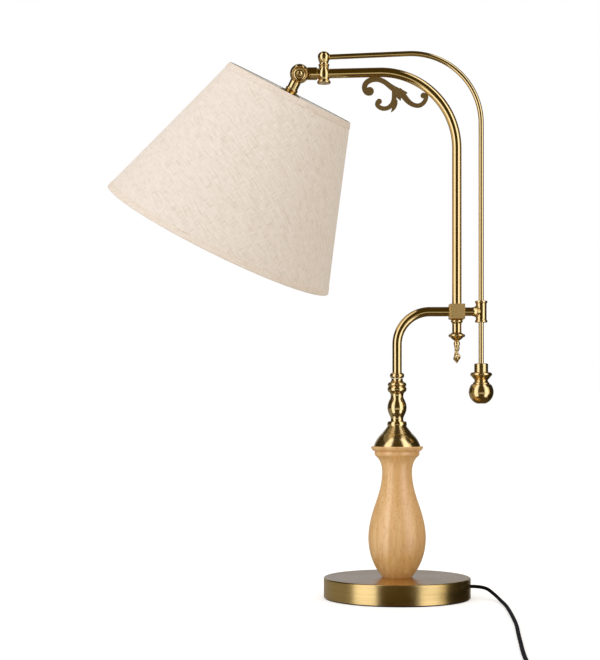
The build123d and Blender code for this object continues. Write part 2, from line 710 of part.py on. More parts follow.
def counterweight():
    neck_bottom = COUNTERWEIGHT_TOP - COUNTERWEIGHT_NECK_HEIGHT
    waist = neck_bottom - COUNTERWEIGHT_FLANGE_HEIGHT
    bead_top = waist - COUNTERWEIGHT_BEAD_HEIGHT
    bead_bottom = bead_top - COUNTERWEIGHT_BEAD_HEIGHT
    ball_centre = COUNTERWEIGHT_TOP - COUNTERWEIGHT_BALL_DROP
    ball_rise = math.sqrt(COUNTERWEIGHT_BALL_RADIUS**2 - COUNTERWEIGHT_BALL_SHOULDER**2)
    foot_drop = math.sqrt(COUNTERWEIGHT_BALL_RADIUS**2 - COUNTERWEIGHT_FOOT_RADIUS**2)
    weight = turned(
        (0, COUNTERWEIGHT_TOP),
        [(COUNTERWEIGHT_NECK_RADIUS - 0.6, COUNTERWEIGHT_TOP)],
        [(COUNTERWEIGHT_NECK_RADIUS, COUNTERWEIGHT_TOP - 0.8)],
        [(COUNTERWEIGHT_NECK_RADIUS, neck_bottom)],
        [(COUNTERWEIGHT_FLANGE_RADIUS - 1.6, neck_bottom - 0.8)],
        [
            (COUNTERWEIGHT_FLANGE_RADIUS, neck_bottom - 2.8),
            (COUNTERWEIGHT_FLANGE_RADIUS - 1.2, neck_bottom - 5.0),
        ],
        [(COUNTERWEIGHT_WAIST_RADIUS, waist)],
        [(COUNTERWEIGHT_WAIST_RADIUS + 0.3, waist - 1.3), (COUNTERWEIGHT_BEAD_RADIUS - 1.0, bead_top)],
        [(COUNTERWEIGHT_BEAD_RADIUS, bead_top - 1.1), (COUNTERWEIGHT_BEAD_RADIUS, bead_bottom + 0.1)],
        [(COUNTERWEIGHT_BALL_SHOULDER, ball_centre + ball_rise)],
        [
            (COUNTERWEIGHT_BALL_RADIUS, ball_centre),
            (COUNTERWEIGHT_FOOT_RADIUS, ball_centre - foot_drop),
        ],
        [(0, ball_centre - foot_drop)],
    )
    socket_bottom = COUNTERWEIGHT_TOP - COUNTERWEIGHT_SOCKET_DEPTH
    weight -= bar(BALANCE_ROD_RADIUS + FIT, socket_bottom, COUNTERWEIGHT_TOP)
    return Pos(BALANCE_ROD_X, 0, 0) * weight


def finial_cup():
    ring_bottom = block_bottom - FINIAL_RING_HEIGHT
    barrel_bottom = ring_bottom - FINIAL_BARREL_HEIGHT
    skirt_middle = barrel_bottom - 2.7
    bottom = barrel_bottom - FINIAL_SKIRT_HEIGHT
    cup = turned(
        (0, block_bottom),
        [(FINIAL_RING_RADIUS - 1.2, block_bottom)],
        [
            (FINIAL_RING_RADIUS, block_bottom - FINIAL_RING_HEIGHT / 2),
            (FINIAL_BARREL_RADIUS + 0.6, ring_bottom),
        ],
        [(FINIAL_BARREL_RADIUS, ring_bottom - 1.2)],
        [(FINIAL_BARREL_RADIUS, barrel_bottom + 0.8)],
        [(FINIAL_SKIRT_RADIUS - 1.6, skirt_middle + 1.4)],
        [(FINIAL_SKIRT_RADIUS, skirt_middle), (FINIAL_SKIRT_RADIUS - 1.6, skirt_middle - 1.5)],
        [(FINIAL_SKIRT_RADIUS - 4.0, skirt_middle - 4.0), (DROP_BEAD_RADIUS - 1.0, bottom)],
        [(0, bottom)],
    )
    cup += bar(FINIAL_STUD_RADIUS, block_bottom, block_bottom + FINIAL_STUD_LENGTH)
    cup -= bar(DROP_STUD_RADIUS + FIT, bottom, bottom + DROP_STUD_LENGTH + FIT)
    return Pos(BLOCK_CENTRE_X, 0, 0) * cup


def finial_drop():
    top = block_bottom - FINIAL_RING_HEIGHT - FINIAL_BARREL_HEIGHT - FINIAL_SKIRT_HEIGHT
    waist = top - 0.42 * DROP_LENGTH
    swell = top - 0.73 * DROP_LENGTH
    drop = turned(
        (0, top),
        [(DROP_BEAD_RADIUS - 1.2, top)],
        [(DROP_BEAD_RADIUS, top - 3.0), (DROP_BEAD_RADIUS - 1.2, top - 5.8)],
        [(2.1, waist)],
        [
            (2.5, waist - 2.4),
            (DROP_SWELL_RADIUS - 0.4, swell + 1.8),
            (DROP_SWELL_RADIUS, swell - 0.6),
            (DROP_SWELL_RADIUS - 1.9, swell - 4.2),
            (0.5, top - DROP_LENGTH),
        ],
        [(0, top - DROP_LENGTH)],
    )
    flute = Pos(DROP_SWELL_RADIUS + 0.7, 0, 0) * Cylinder(DROP_FLUTE_RADIUS, DROP_LENGTH / 4)
    for flute_place in PolarLocations(0, DROP_FLUTES):
        drop -= Pos(0, 0, swell) * flute_place * flute
    drop += bar(DROP_STUD_RADIUS, top, top + DROP_STUD_LENGTH)
    return Pos(BLOCK_CENTRE_X, 0, 0) * drop


def arm_end_fitting():
    axis_height = roll_axis_height
    foot = axis_height - FITTING_FOOT_DROP
    knob = axis_height + FITTING_KNOB_RISE
    knob_top = axis_height + FITTING_TOP_RISE
    shoulder = axis_height + 6.4
    body = turned(
        (0, foot),
        [(FITTING_FOOT_RADIUS - 0.5, foot)],
        [(FITTING_FOOT_RADIUS, foot + 1.3), (FITTING_FOOT_RADIUS - 0.6, foot + 2.6)],
        [(FITTING_BARREL_RADIUS - 1.0, foot + 4.4)],
        [(FITTING_BARREL_RADIUS, axis_height - 1.0), (FITTING_RING_RADIUS - 1.1, shoulder)],
        [(FITTING_RING_RADIUS - 0.6, shoulder + 1.1), (FITTING_RING_RADIUS - 1.2, shoulder + 2.2)],
        [(FITTING_RING_RADIUS, shoulder + 3.5), (FITTING_NECK_RADIUS + 0.2, shoulder + 4.8)],
        [(FITTING_NECK_RADIUS, shoulder + 5.8)],
        [(FITTING_KNOB_RADIUS - 0.6, knob - 3.8), (FITTING_KNOB_RADIUS, knob)],
        [(FITTING_KNOB_RADIUS * 0.72, knob_top - 1.5), (0, knob_top)],
    )
    body = Pos(FITTING_X, 0, 0) * Rot(Z=90) * body
    boss = bar(FITTING_BOSS_RADIUS, collar_right, FITTING_X)
    body += Pos(0, 0, axis_height) * Rot(Y=90) * boss
    body -= swept(balance_rod_path(), BALANCE_ROD_RADIUS + FIT)
    tube_seat = swept(arm_tube_path(), TUBE_RADIUS + FIT)
    body -= tube_seat - Pos(fitting_wall_right, 0, axis_height) * left_half_space()
    spindle_hole = bar(ROLL_SPINDLE_RADIUS + RUNNING_CLEARANCE, collar_right, FITTING_X)
    nut_pocket = bar(ROLL_NUT_RADIUS + NUT_POCKET_CLEARANCE, roll_pocket_left, fitting_wall_right + 1)
    return body - Pos(0, 0, axis_height) * Rot(Y=90) * (spindle_hole + nut_pocket)


# Scroll bracket

def stroke(points, widths):
    """Flat band along a smooth line whose width changes from point to point.

    The points are (x, height above the arm's top).
    """
    spine = Spline(*points)
    left = []
    right = []
    for point, width in zip(points, widths):
        along = spine % spine.param_at_point(Vector(*point))
        across = Vector(-along.Y, along.X) * (width / 2)
        left.append(Vector(*point) + across)
        right.append(Vector(*point) - across)
    tip = Line(left[-1], right[-1])
    root = Line(right[0], left[0])
    return make_face([Spline(*left), tip, Spline(*right), root])


def scroll_bracket():
    left_volute = stroke(
        [(-32.5, -25.7), (-37.0, -21.3), (-37.2, -14.7), (-31.6, -9.4), (-23.4, -8.1), (-14.4, -11.3),
         (-6.0, -17.7), (2.0, -21.7), (12.0, -24.1)],
        [3.0, 5.8, 6.2, 6.2, 5.8, 5.6, 6.4, 6.4, 0.7],
    )
    middle_volute = stroke(
        [(-3.6, -19.4), (-3.4, -29.6), (-5.8, -37.0), (-11.0, -41.3), (-17.6, -41.7), (-23.0, -37.7),
         (-22.8, -33.3)],
        [5.0, 5.6, 5.4, 5.0, 5.0, 4.8, 3.0],
    )
    right_volute = stroke(
        [(1.5, -20.9), (8.0, -27.9), (13.6, -34.3), (19.5, -37.9), (26.0, -38.4), (31.6, -34.3),
         (33.8, -28.1), (32.4, -24.3)],
        [7.0, 6.8, 5.8, 5.0, 5.0, 5.0, 4.8, 3.4],
    )
    low_leaf = stroke([(-2.2, -31.9), (-3.0, -39.2), (-6.8, -46.0)], [5.0, 5.2, 0.7])
    right_leaf = stroke([(0.0, -24.9), (2.6, -29.4), (4.2, -32.7)], [6.0, 4.0, 0.7])
    face = left_volute + middle_volute + right_volute + low_leaf + right_leaf
    face += Pos(-31.8, -22.0) * Circle(SCROLL_BALL_RADIUS)
    face += Pos(-20.8, -33.9) * Circle(SCROLL_SMALL_BALL_RADIUS)
    face += Pos(30.4, -26.9) * Circle(SCROLL_SMALL_BALL_RADIUS)
    plate = Pos(0, 0, ARM_TOP_HEIGHT) * extrude(Plane.XZ * face, SCROLL_THICKNESS / 2, both=True)
    return plate - swept(arm_tube_path(), TUBE_RADIUS + FIT)


# Roll joint and knuckle

def roll_collar():
    collar = bar(ROLL_COLLAR_RADIUS, collar_left, collar_right, ROLL_SPINDLE_RADIUS + RUNNING_CLEARANCE)
    edges = collar.edges().filter_by(GeomType.CIRCLE).filter_by(lambda e: e.radius > ROLL_SPINDLE_RADIUS + 1)
    collar = chamfer(edges, 0.4)
    return Pos(0, 0, roll_axis_height) * Rot(Y=90) * collar


def roll_spindle():
    left = KNUCKLE_X + KNUCKLE_RADIUS + BODY_GAP
    right = roll_nut_left + ROLL_NUT_LENGTH
    return Pos(0, 0, roll_axis_height) * Rot(Y=90) * bar(ROLL_SPINDLE_RADIUS, left, right, SPINDLE_BORE)


def roll_nut():
    nut_right = roll_nut_left + ROLL_NUT_LENGTH
    nut = bar(ROLL_NUT_RADIUS, roll_nut_left, nut_right, ROLL_SPINDLE_RADIUS + FIT)
    return Pos(0, 0, roll_axis_height) * Rot(Y=90) * nut


def knuckle_disc(dished):
    """One half of the knuckle, turned about Z with its joint face down, dished where it shows."""
    hole = KNUCKLE_SCREW_RADIUS + RUNNING_CLEARANCE
    rim = KNUCKLE_RADIUS - 2.3
    steps = [
        [(KNUCKLE_RADIUS, 0)],
        [(KNUCKLE_RADIUS, 2.4)],
        [(KNUCKLE_RADIUS - 0.6, 5.4), (rim, KNUCKLE_HALF_WIDTH - 0.5)],
    ]
    if dished:
        floor = KNUCKLE_HALF_WIDTH - 2.6
        steps += [
            [(rim - 0.6, KNUCKLE_HALF_WIDTH), (rim - 1.2, KNUCKLE_HALF_WIDTH - 0.5)],
            [(rim - 2.4, floor + 0.4), (KNUCKLE_SCREW_HEAD_RADIUS + 0.9, floor)],
            [(hole, floor)],
        ]
    else:
        steps += [[(rim - 0.5, KNUCKLE_HALF_WIDTH)], [(hole, KNUCKLE_HALF_WIDTH)]]
    return turned((hole, 0), *steps)


def knuckle_arm_half():
    face = FRICTION_DISC_THICKNESS
    disc = knuckle_disc(False) & bar(KNUCKLE_RADIUS, 0, KNUCKLE_HALF_WIDTH - face)
    half = Rot(X=-90) * Pos(0, 0, face) * disc
    saddle_left = KNUCKLE_RADIUS - 2.0
    saddle_right = collar_left - KNUCKLE_X
    saddle = Rot(Y=90) * bar(ROLL_COLLAR_RADIUS, saddle_left, saddle_right)
    swing = Rot(X=90) * bar(KNUCKLE_RADIUS + BODY_GAP, -face, ROLL_COLLAR_RADIUS + 1)
    half += saddle - swing
    half -= Rot(Y=90) * bar(ROLL_SPINDLE_RADIUS + FIT, saddle_right - 1.2, saddle_right)
    half -= Rot(Y=90) * bar(SPINDLE_BORE, 0, saddle_right)
    return knuckle_place * half


def friction_disc():
    disc = bar(KNUCKLE_RADIUS - 1.5, 0, FRICTION_DISC_THICKNESS, KNUCKLE_SCREW_RADIUS + RUNNING_CLEARANCE)
    return knuckle_place * Rot(X=-90) * disc


def knuckle_head_half():
    half = Rot(X=90) * Pos(0, 0, HOLE_CLEARANCE) * knuckle_disc(True)
    stem = bar(HEAD_STEM_RADIUS, -HEAD_STEM_END, 2 - KNUCKLE_RADIUS)
    swing = Rot(X=-90) * bar(KNUCKLE_RADIUS + BODY_GAP, -HOLE_CLEARANCE, HEAD_STEM_RADIUS + 1)
    half += stem - swing
    half -= bar(NIPPLE_RADIUS + FIT, -HEAD_STEM_END, NIPPLE_GRIP - HEAD_STEM_END)
    return head_place * half


def knuckle_screw():
    floor = HOLE_CLEARANCE + KNUCKLE_HALF_WIDTH - 2.6
    end = -KNUCKLE_HALF_WIDTH - HOLE_CLEARANCE - KNUCKLE_NUT_HEIGHT - 0.6
    head = turned(
        (0, floor),
        [(KNUCKLE_SCREW_HEAD_RADIUS, floor)],
        [(KNUCKLE_SCREW_HEAD_RADIUS, floor + 0.9)],
        [(KNUCKLE_SCREW_HEAD_RADIUS * 0.6, floor + 1.9), (0, floor + 2.3)],
    )
    slot = Pos(0, 0, floor + 2.3) * Box(2 * KNUCKLE_SCREW_HEAD_RADIUS, 0.9, 2.0)
    screw = head - slot + bar(KNUCKLE_SCREW_RADIUS, end, floor)
    return head_place * Rot(X=90) * screw


def knuckle_nut():
    top = -KNUCKLE_HALF_WIDTH - HOLE_CLEARANCE
    nut = hexagon_nut(KNUCKLE_NUT_FLATS, top - KNUCKLE_NUT_HEIGHT, top, KNUCKLE_SCREW_RADIUS + FIT)
    return head_place * Rot(X=90) * nut


# Lamp holder, in the head's frame: Z runs from the shade up to the knuckle

def holder_cup():
    neck = HEAD_STEM_END
    flange = neck + CUP_NECK_HEIGHT
    shoulder = flange + CUP_SHOULDER_DROP
    full = shoulder + 5.0
    outer = turned(
        (0, -neck),
        [(CUP_BEAD_RADIUS - 0.8, -neck)],
        [(CUP_BEAD_RADIUS, -(neck + CUP_NECK_HEIGHT / 2)), (CUP_BEAD_RADIUS - 0.8, -flange)],
        [(CUP_SHOULDER_RADIUS, -shoulder)],
        [(CUP_RADIUS - 0.7, -(shoulder + 2.2)), (CUP_RADIUS, -full)],
        [(CUP_RADIUS, -CUP_RIM_AT)],
        [(0, -CUP_RIM_AT)],
    )
    hollow = turned(
        (0, -cup_inside),
        [(CUP_NUT_FLATS / 2 + 1.5, -cup_inside)],
        [(CUP_SHOULDER_RADIUS - CUP_WALL, -(shoulder + CUP_WALL))],
        [(CUP_RADIUS - 0.7 - CUP_WALL, -(shoulder + 3.0)), (CUP_RADIUS - CUP_WALL, -full - 1)],
        [(CUP_RADIUS - CUP_WALL, -CUP_RIM_AT)],
        [(0, -CUP_RIM_AT)],
    )
    cup = outer - hollow - bar(NIPPLE_RADIUS + FIT, -cup_inside, -neck)
    return head_place * cup


def holder_nipple():
    top = NIPPLE_GRIP - HEAD_STEM_END
    return head_place * bar(NIPPLE_RADIUS, -(holder_top + 4.0), top, NIPPLE_BORE)


def holder_nut():
    bottom = -(cup_inside + CUP_NUT_HEIGHT)
    return head_place * hexagon_nut(CUP_NUT_FLATS, bottom, -cup_inside, NIPPLE_RADIUS + FIT)


def lamp_holder():
    bore_top = holder_bottom - HOLDER_BORE_DEPTH
    holder = turned(
        (0, -holder_top),
        [(HOLDER_TOP_RADIUS, -holder_top)],
        [(HOLDER_RADIUS - 1.6, -(holder_top + 2.2)), (HOLDER_RADIUS, -(holder_top + 7.0))],
        [(HOLDER_RADIUS, -(holder_bottom - 1.5))],
        [(HOLDER_RADIUS - 0.8, -holder_bottom)],
        [(0, -holder_bottom)],
    )
    holder -= bar(NIPPLE_RADIUS + FIT, -(holder_top + 4.0 + FIT), -holder_top)
    holder -= bar(NIPPLE_BORE, -(bore_top - 4.0), -holder_top)
    return head_place * (holder - bar(HOLDER_BORE, -holder_bottom, -bore_top))


def screw_liner():
    outer = HOLDER_BORE - FIT
    top = -(holder_bottom - HOLDER_BORE_DEPTH)
    return head_place * bar(outer, top - LINER_LENGTH, top, outer - LINER_THICKNESS)


def centre_contact():
    top = -(holder_bottom - HOLDER_BORE_DEPTH)
    return head_place * bar(CONTACT_RADIUS, top - CONTACT_THICKNESS, top)


def shade_ring_nut():
    top = -(CUP_RIM_AT + SPIDER_RING_THICKNESS)
    nut = bar(SHADE_RING_NUT_RADIUS, top - SHADE_RING_NUT_HEIGHT, top, HOLDER_RADIUS + FIT)
    return head_place * nut


# Bulb

def bulb_cap():
    cap = turned(
        (0, -bulb_tip),
        [(4.5, -bulb_tip)],
        [(5.4, -(bulb_tip + 1.0))],
        [(BULB_CAP_RADIUS - 2.6, -(bulb_tip + 2.6))],
        [(BULB_CAP_RADIUS, -(bulb_tip + 4.8))],
        [(BULB_CAP_RADIUS, -bulb_cap_end)],
        [(0, -bulb_cap_end)],
    )
    return head_place * cap


def bulb_form(skin):
    """The bulb's outline, drawn in by the skin for the space inside the glass."""
    end = bulb_tip + BULB_LENGTH - skin
    widest = bulb_tip + BULB_LENGTH - BULB_RADIUS
    neck = BULB_CAP_RADIUS - 0.3 - skin
    return turned(
        (0, -bulb_cap_end),
        [(neck, -bulb_cap_end)],
        [
            (neck + 3.4, -(bulb_cap_end + 11)),
            (BULB_RADIUS - 5.2 - skin, -(widest - 16)),
            (BULB_RADIUS - skin, -widest),
        ],
        [
            ((BULB_RADIUS - skin) * math.sqrt(0.5), -(widest + (end - widest) * math.sqrt(0.5))),
            (0, -end),
        ],
    )


def bulb_glass():
    return head_place * (bulb_form(0) - bulb_form(BULB_GLASS_WALL))


# Shade, in the head's frame

def shade_radius(distance):
    """Outer radius of the shade at a distance below its top edge."""
    return SHADE_TOP_RADIUS + distance * math.tan(tilt_cone)


def shade_cloth():
    bottom_at = SHADE_TOP_AT + SHADE_HEIGHT
    thick = SHADE_WALL / math.cos(tilt_cone)
    hem = (SHADE_WALL + SHADE_HEM_EXTRA) / math.cos(tilt_cone)
    hem_drop = SHADE_HEM_WIDTH * math.cos(tilt_cone)
    cloth = turned(
        (SHADE_TOP_RADIUS, -SHADE_TOP_AT),
        [(SHADE_BOTTOM_RADIUS, -bottom_at)],
        [(SHADE_BOTTOM_RADIUS - hem, -bottom_at)],
        [(shade_radius(SHADE_HEIGHT - hem_drop) - hem, hem_drop - bottom_at)],
        [(shade_radius(SHADE_HEIGHT - hem_drop) - thick, hem_drop - bottom_at)],
        [(shade_radius(hem_drop) - thick, -(SHADE_TOP_AT + hem_drop))],
        [(shade_radius(hem_drop) - hem, -(SHADE_TOP_AT + hem_drop))],
        [(SHADE_TOP_RADIUS - hem, -SHADE_TOP_AT)],
    )
    return head_place * cloth


def wire_ring(distance):
    """Wire ring that lies on the inside of the shade at a distance below its top edge."""
    inset = (SHADE_WALL + SHADE_HEM_EXTRA + SHADE_WIRE_RADIUS + FIT) / math.cos(tilt_cone)
    ring_radius = shade_radius(distance) - inset
    return ring_radius, Pos(0, 0, -(SHADE_TOP_AT + distance)) * Torus(ring_radius, SHADE_WIRE_RADIUS)


def shade_spider():
    ring_radius, top_ring = wire_ring(SHADE_WIRE_INSET)
    hub_top = -CUP_RIM_AT
    hub_bottom = hub_top - SPIDER_RING_THICKNESS
    spider = top_ring + bar(SPIDER_RING_RADIUS, hub_bottom, hub_top, HOLDER_RADIUS + FIT)
    hub_point = (SHADE_RING_NUT_RADIUS + HOLE_CLEARANCE, 0, (hub_bottom + hub_top) / 2)
    rim_point = (ring_radius, 0, -(SHADE_TOP_AT + SHADE_WIRE_INSET))
    knee = (SPIDER_RING_RADIUS + 6, 0, (hub_bottom + hub_top) / 2 + 1)
    arm_wire = swept(FilletPolyline(hub_point, knee, rim_point, radius=4), SPIDER_ARM_RADIUS)
    for arm_place in PolarLocations(0, SPIDER_ARMS, start_angle=90):
        spider += arm_place * arm_wire
    return head_place * spider


def shade_bottom_ring():
    return head_place * wire_ring(SHADE_HEIGHT - SHADE_WIRE_INSET)[1]


# Mains cord

def cord_lead():
    return swept(route_path(CORD_ROUTE), CORD_RADIUS)


def coil_crossings():
    """Where the coil crosses the line through its middle: (x offset, height), one per half turn."""
    half_turns = 2 * COIL_TURNS_PER_LAYER
    low = CORD_ROUTE[4][2]
    high = low + COIL_LAYER_RISE
    inward = [(COIL_OUTER_RADIUS - i * COIL_PITCH / 2, low) for i in range(half_turns + 1)]
    innermost = inward[-1][0]
    outward = [(innermost + i * COIL_PITCH / 2, high) for i in range(half_turns + 1)]
    crossings = []
    for index, (radius, height) in enumerate(inward + outward):
        side = 1 if index % 2 == 0 else -1
        crossings.append((side * radius, height))
    return crossings


def coil_path():
    """Straight out of the switch, down to the table, round and round, and straight into the plug."""
    low = CORD_ROUTE[4][2]
    start = Vector(SWITCH_X, switch_end_y, SWITCH_CORD_HEIGHT)
    fall_start = start - Vector(0, 2 * CORD_RADIUS, 0)
    landing = Vector(SWITCH_X, COIL_CENTRE_Y, low)
    halfway = (fall_start + landing) / 2
    edges = [
        Line(start, fall_start),
        TangentArc(fall_start, halfway, tangent=(0, -1, 0)),
        TangentArc(landing, halfway, tangent=(0, 1, 0)),
    ]
    here = landing
    heading = Vector(0, -1, 0)
    for offset, height in coil_crossings()[1:]:
        there = Vector(coil_centre_x + offset, COIL_CENTRE_Y, height)
        middle = (here + there) / 2 + heading * ((there - here).length / 2)
        edges.append(ThreePointArc(here, middle, there))
        here = there
        heading = heading * -1
    plug_face = here + heading * COIL_TAIL_LENGTH
    edges.append(Line(here, plug_face))
    return Wire(edges), plug_face


def least_gap(path, skip):
    """Least gap between the cord's turns, measured on points along its line."""
    steps = int(path.length)
    points = [tuple(path @ (i / steps)) for i in range(steps + 1)]
    least = path.length
    for i, point in enumerate(points):
        for other in points[i + skip:]:
            least = min(least, math.dist(point, other))
    return least - 2 * CORD_RADIUS


def cord_coil():
    return swept(coil_path()[0], CORD_RADIUS)


# In-line switch

def switch_place():
    return Pos(SWITCH_X, SWITCH_Y, 0)


def switch_block(low, high):
    """A slice of the switch's rounded body between two heights."""
    outline = RectangleRounded(SWITCH_WIDTH, SWITCH_LENGTH, SWITCH_END_RADIUS)
    body = extrude(outline, SWITCH_HEIGHT)
    top_edges = body.edges().group_by(Axis.Z)[-1]
    body = fillet(top_edges, SWITCH_EDGE_RADIUS)
    slab = Pos(0, 0, low) * Box(
        SWITCH_WIDTH + 2, SWITCH_LENGTH + 2, high - low, align=(Align.CENTER, Align.CENTER, Align.MIN)
    )
    body &= slab
    well = Pos(0, 0, ROCKER_PIVOT_HEIGHT) * Rot(Y=90) * Cylinder(
        ROCKER_RADIUS + HOLE_CLEARANCE, ROCKER_WIDTH + 2 * HOLE_CLEARANCE
    )
    return body - well


def screw_places():
    reach = SWITCH_LENGTH / 2 - 9
    return [Pos(7.5, reach, 0), Pos(-7.5, reach, 0), Pos(7.5, -reach, 0), Pos(-7.5, -reach, 0)]


def switch_base():
    body = switch_block(0, SWITCH_SPLIT)
    for place in screw_places():
        body -= place * bar(SWITCH_SCREW_RADIUS + HOLE_CLEARANCE, 0, SWITCH_SPLIT)
        body -= place * bar(2 * SWITCH_SCREW_RADIUS, 0, 2.5)
    return switch_place() * body


def switch_cover():
    body = switch_block(SWITCH_SPLIT, SWITCH_HEIGHT)
    pin_hole = Rot(Y=90) * Cylinder(
        ROCKER_PIN_RADIUS + RUNNING_CLEARANCE, ROCKER_WIDTH + 2 * ROCKER_PIN_LENGTH + 2 * HOLE_CLEARANCE
    )
    body -= Pos(0, 0, ROCKER_PIVOT_HEIGHT) * pin_hole
    for place in screw_places():
        body -= place * bar(SWITCH_SCREW_RADIUS + FIT, SWITCH_SPLIT, SWITCH_SPLIT + 5)
    return switch_place() * body


def switch_screws():
    screws = []
    for place in screw_places():
        head = bar(2 * SWITCH_SCREW_RADIUS - FIT, 0.6, 2.4)
        screws.append(switch_place() * place * (head + bar(SWITCH_SCREW_RADIUS, 2.4, SWITCH_SPLIT + 4)))
    return Compound(screws)


def switch_rocker():
    reach = math.radians(28)
    low = -3.4
    low_reach = math.sqrt(ROCKER_RADIUS**2 - low**2)
    top = (ROCKER_RADIUS * math.cos(reach), ROCKER_RADIUS * math.sin(reach))
    outline = [
        Line((-low_reach, low), (low_reach, low)),
        ThreePointArc((low_reach, low), (ROCKER_RADIUS, 0), top),
        Line(top, (0, 3.2)),
        Line((0, 3.2), (-top[0], top[1])),
        ThreePointArc((-top[0], top[1]), (-ROCKER_RADIUS, 0), (-low_reach, low)),
    ]
    rocker = extrude(Plane.YZ * make_face(outline), ROCKER_WIDTH / 2, both=True)
    rocker += Rot(Y=90) * Cylinder(ROCKER_PIN_RADIUS, ROCKER_WIDTH + 2 * ROCKER_PIN_LENGTH)
    tilt = Rot(X=-ROCKER_TRAVEL / 2)
    return switch_place() * Pos(0, 0, ROCKER_PIVOT_HEIGHT) * tilt * rocker


# Plug, with its cord end at the origin and its pins towards +Y

def plug_place():
    face = coil_path()[1]
    return Pos(face.X, face.Y, face.Z)


def plug_body():
    half = PLUG_THICKNESS / 2
    relief = Rot(X=-90) * turned(
        (0, 0),
        [(CORD_RADIUS + 1.2, 0)],
        [(PLUG_RELIEF_RADIUS, PLUG_RELIEF_LENGTH)],
        [(PLUG_RELIEF_RADIUS, PLUG_RELIEF_LENGTH + 3)],
        [(0, PLUG_RELIEF_LENGTH + 3)],
    )
    outline = make_face(
        Polyline(
            (-PLUG_NECK_WIDTH / 2, PLUG_RELIEF_LENGTH),
            (PLUG_NECK_WIDTH / 2, PLUG_RELIEF_LENGTH),
            (PLUG_WIDTH / 2, PLUG_RELIEF_LENGTH + 0.55 * PLUG_BODY_LENGTH),
            (PLUG_WIDTH / 2, PLUG_RELIEF_LENGTH + PLUG_BODY_LENGTH),
            (-PLUG_WIDTH / 2, PLUG_RELIEF_LENGTH + PLUG_BODY_LENGTH),
            (-PLUG_WIDTH / 2, PLUG_RELIEF_LENGTH + 0.55 * PLUG_BODY_LENGTH),
            (-PLUG_NECK_WIDTH / 2, PLUG_RELIEF_LENGTH),
        )
    )
    block = Pos(0, 0, -half) * extrude(outline, PLUG_THICKNESS)
    block = fillet(block.edges().filter_by(Axis.Z), 3)
    block = fillet(block.edges().group_by(Axis.Z)[0] + block.edges().group_by(Axis.Z)[-1], 1.5)
    body = relief + block
    for place in pin_places():
        body -= place * Pos(0, PLUG_RELIEF_LENGTH + PLUG_BODY_LENGTH - 8, 0) * pin(8, FIT)
    return plug_place() * body


def pin_places():
    return [Pos(-PLUG_PIN_SPACING / 2, 0, 0), Pos(PLUG_PIN_SPACING / 2, 0, 0)]


def pin(length, extra=0.0):
    return Rot(X=-90) * bar(PLUG_PIN_RADIUS + extra, 0, length)


def plug_pins():
    start = PLUG_RELIEF_LENGTH + PLUG_BODY_LENGTH - 8
    pins = [plug_place() * place * Pos(0, start, 0) * pin(8 + PLUG_PIN_LENGTH) for place in pin_places()]
    return Compound(pins)


PIECES = [
    base_pad, base_cover, base_shell, base_weight, cord_grommet, base_wire, threaded_rod, rod_washer,
    rod_nut, wood_body, bell_cap, stem_vase, stem_crown, swivel_washer, swivel_spindle,
    swivel_spring_washer, swivel_nut, swivel_ring, gooseneck_tube, cross_block, guide_collar,
    main_arm_tube, balance_rod, counterweight, finial_cup, finial_drop, arm_end_fitting,
    scroll_bracket, roll_collar, roll_spindle, roll_nut, knuckle_arm_half, friction_disc,
    knuckle_head_half, knuckle_screw, knuckle_nut, holder_cup, holder_nipple, holder_nut,
    lamp_holder, screw_liner, centre_contact, shade_ring_nut, bulb_cap, bulb_glass, shade_cloth,
    shade_spider, shade_bottom_ring, cord_lead, cord_coil, switch_base, switch_cover,
    switch_screws, switch_rocker, plug_body, plug_pins,
]

os.makedirs("parts", exist_ok=True)
for make_piece in PIECES:
    export_step(make_piece(), f"parts/{make_piece.__name__}.step")

lead_length = route_path(CORD_ROUTE).length
coil_line = coil_path()[0]
total = lead_length + SWITCH_LENGTH + coil_line.length
print("cord radii", [round(radius, 1) for radius in route_radii(CORD_ROUTE)])
print("base wire radii", [round(radius, 1) for radius in route_radii(BASE_WIRE_ROUTE)])
print(f"cord {total:.0f} mm of {CORD_TOTAL_LENGTH:.0f}, lead {lead_length:.0f}, coil {coil_line.length:.0f}")
print(f"least gap between the coil's turns {least_gap(coil_line, 40):.2f} mm")
lead_volume = cord_lead().volume
print(f"lead volume {lead_volume:.0f} of {math.pi * CORD_RADIUS**2 * lead_length:.0f} cubic mm")
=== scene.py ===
"""Looks of a swing arm table lamp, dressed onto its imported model.

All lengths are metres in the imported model's frame: the origin is the middle of the base's
underside, +X is to the right in the front view, -Y is towards the viewer and +Z is up.
"""

import logging
import math
from dataclasses import dataclass, replace
from enum import Enum
from typing import Any

import bmesh
import bpy
from bpy.types import Material, Mesh, Node, NodeSocket, NodeTree, Object
from mathutils import Matrix, Vector

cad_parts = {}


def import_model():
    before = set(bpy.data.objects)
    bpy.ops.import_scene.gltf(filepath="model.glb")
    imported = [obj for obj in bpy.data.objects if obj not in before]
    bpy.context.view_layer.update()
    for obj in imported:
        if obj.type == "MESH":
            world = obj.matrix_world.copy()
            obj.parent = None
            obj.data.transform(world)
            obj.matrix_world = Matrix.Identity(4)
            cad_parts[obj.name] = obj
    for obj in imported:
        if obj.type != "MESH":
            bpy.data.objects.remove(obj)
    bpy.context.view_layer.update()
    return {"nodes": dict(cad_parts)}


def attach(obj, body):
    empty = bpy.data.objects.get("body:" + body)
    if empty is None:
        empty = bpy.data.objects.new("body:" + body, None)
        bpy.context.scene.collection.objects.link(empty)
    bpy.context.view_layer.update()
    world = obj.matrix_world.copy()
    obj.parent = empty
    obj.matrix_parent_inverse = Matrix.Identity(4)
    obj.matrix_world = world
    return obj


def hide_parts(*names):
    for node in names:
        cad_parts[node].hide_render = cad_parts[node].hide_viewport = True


LOG = logging.getLogger("lamp")

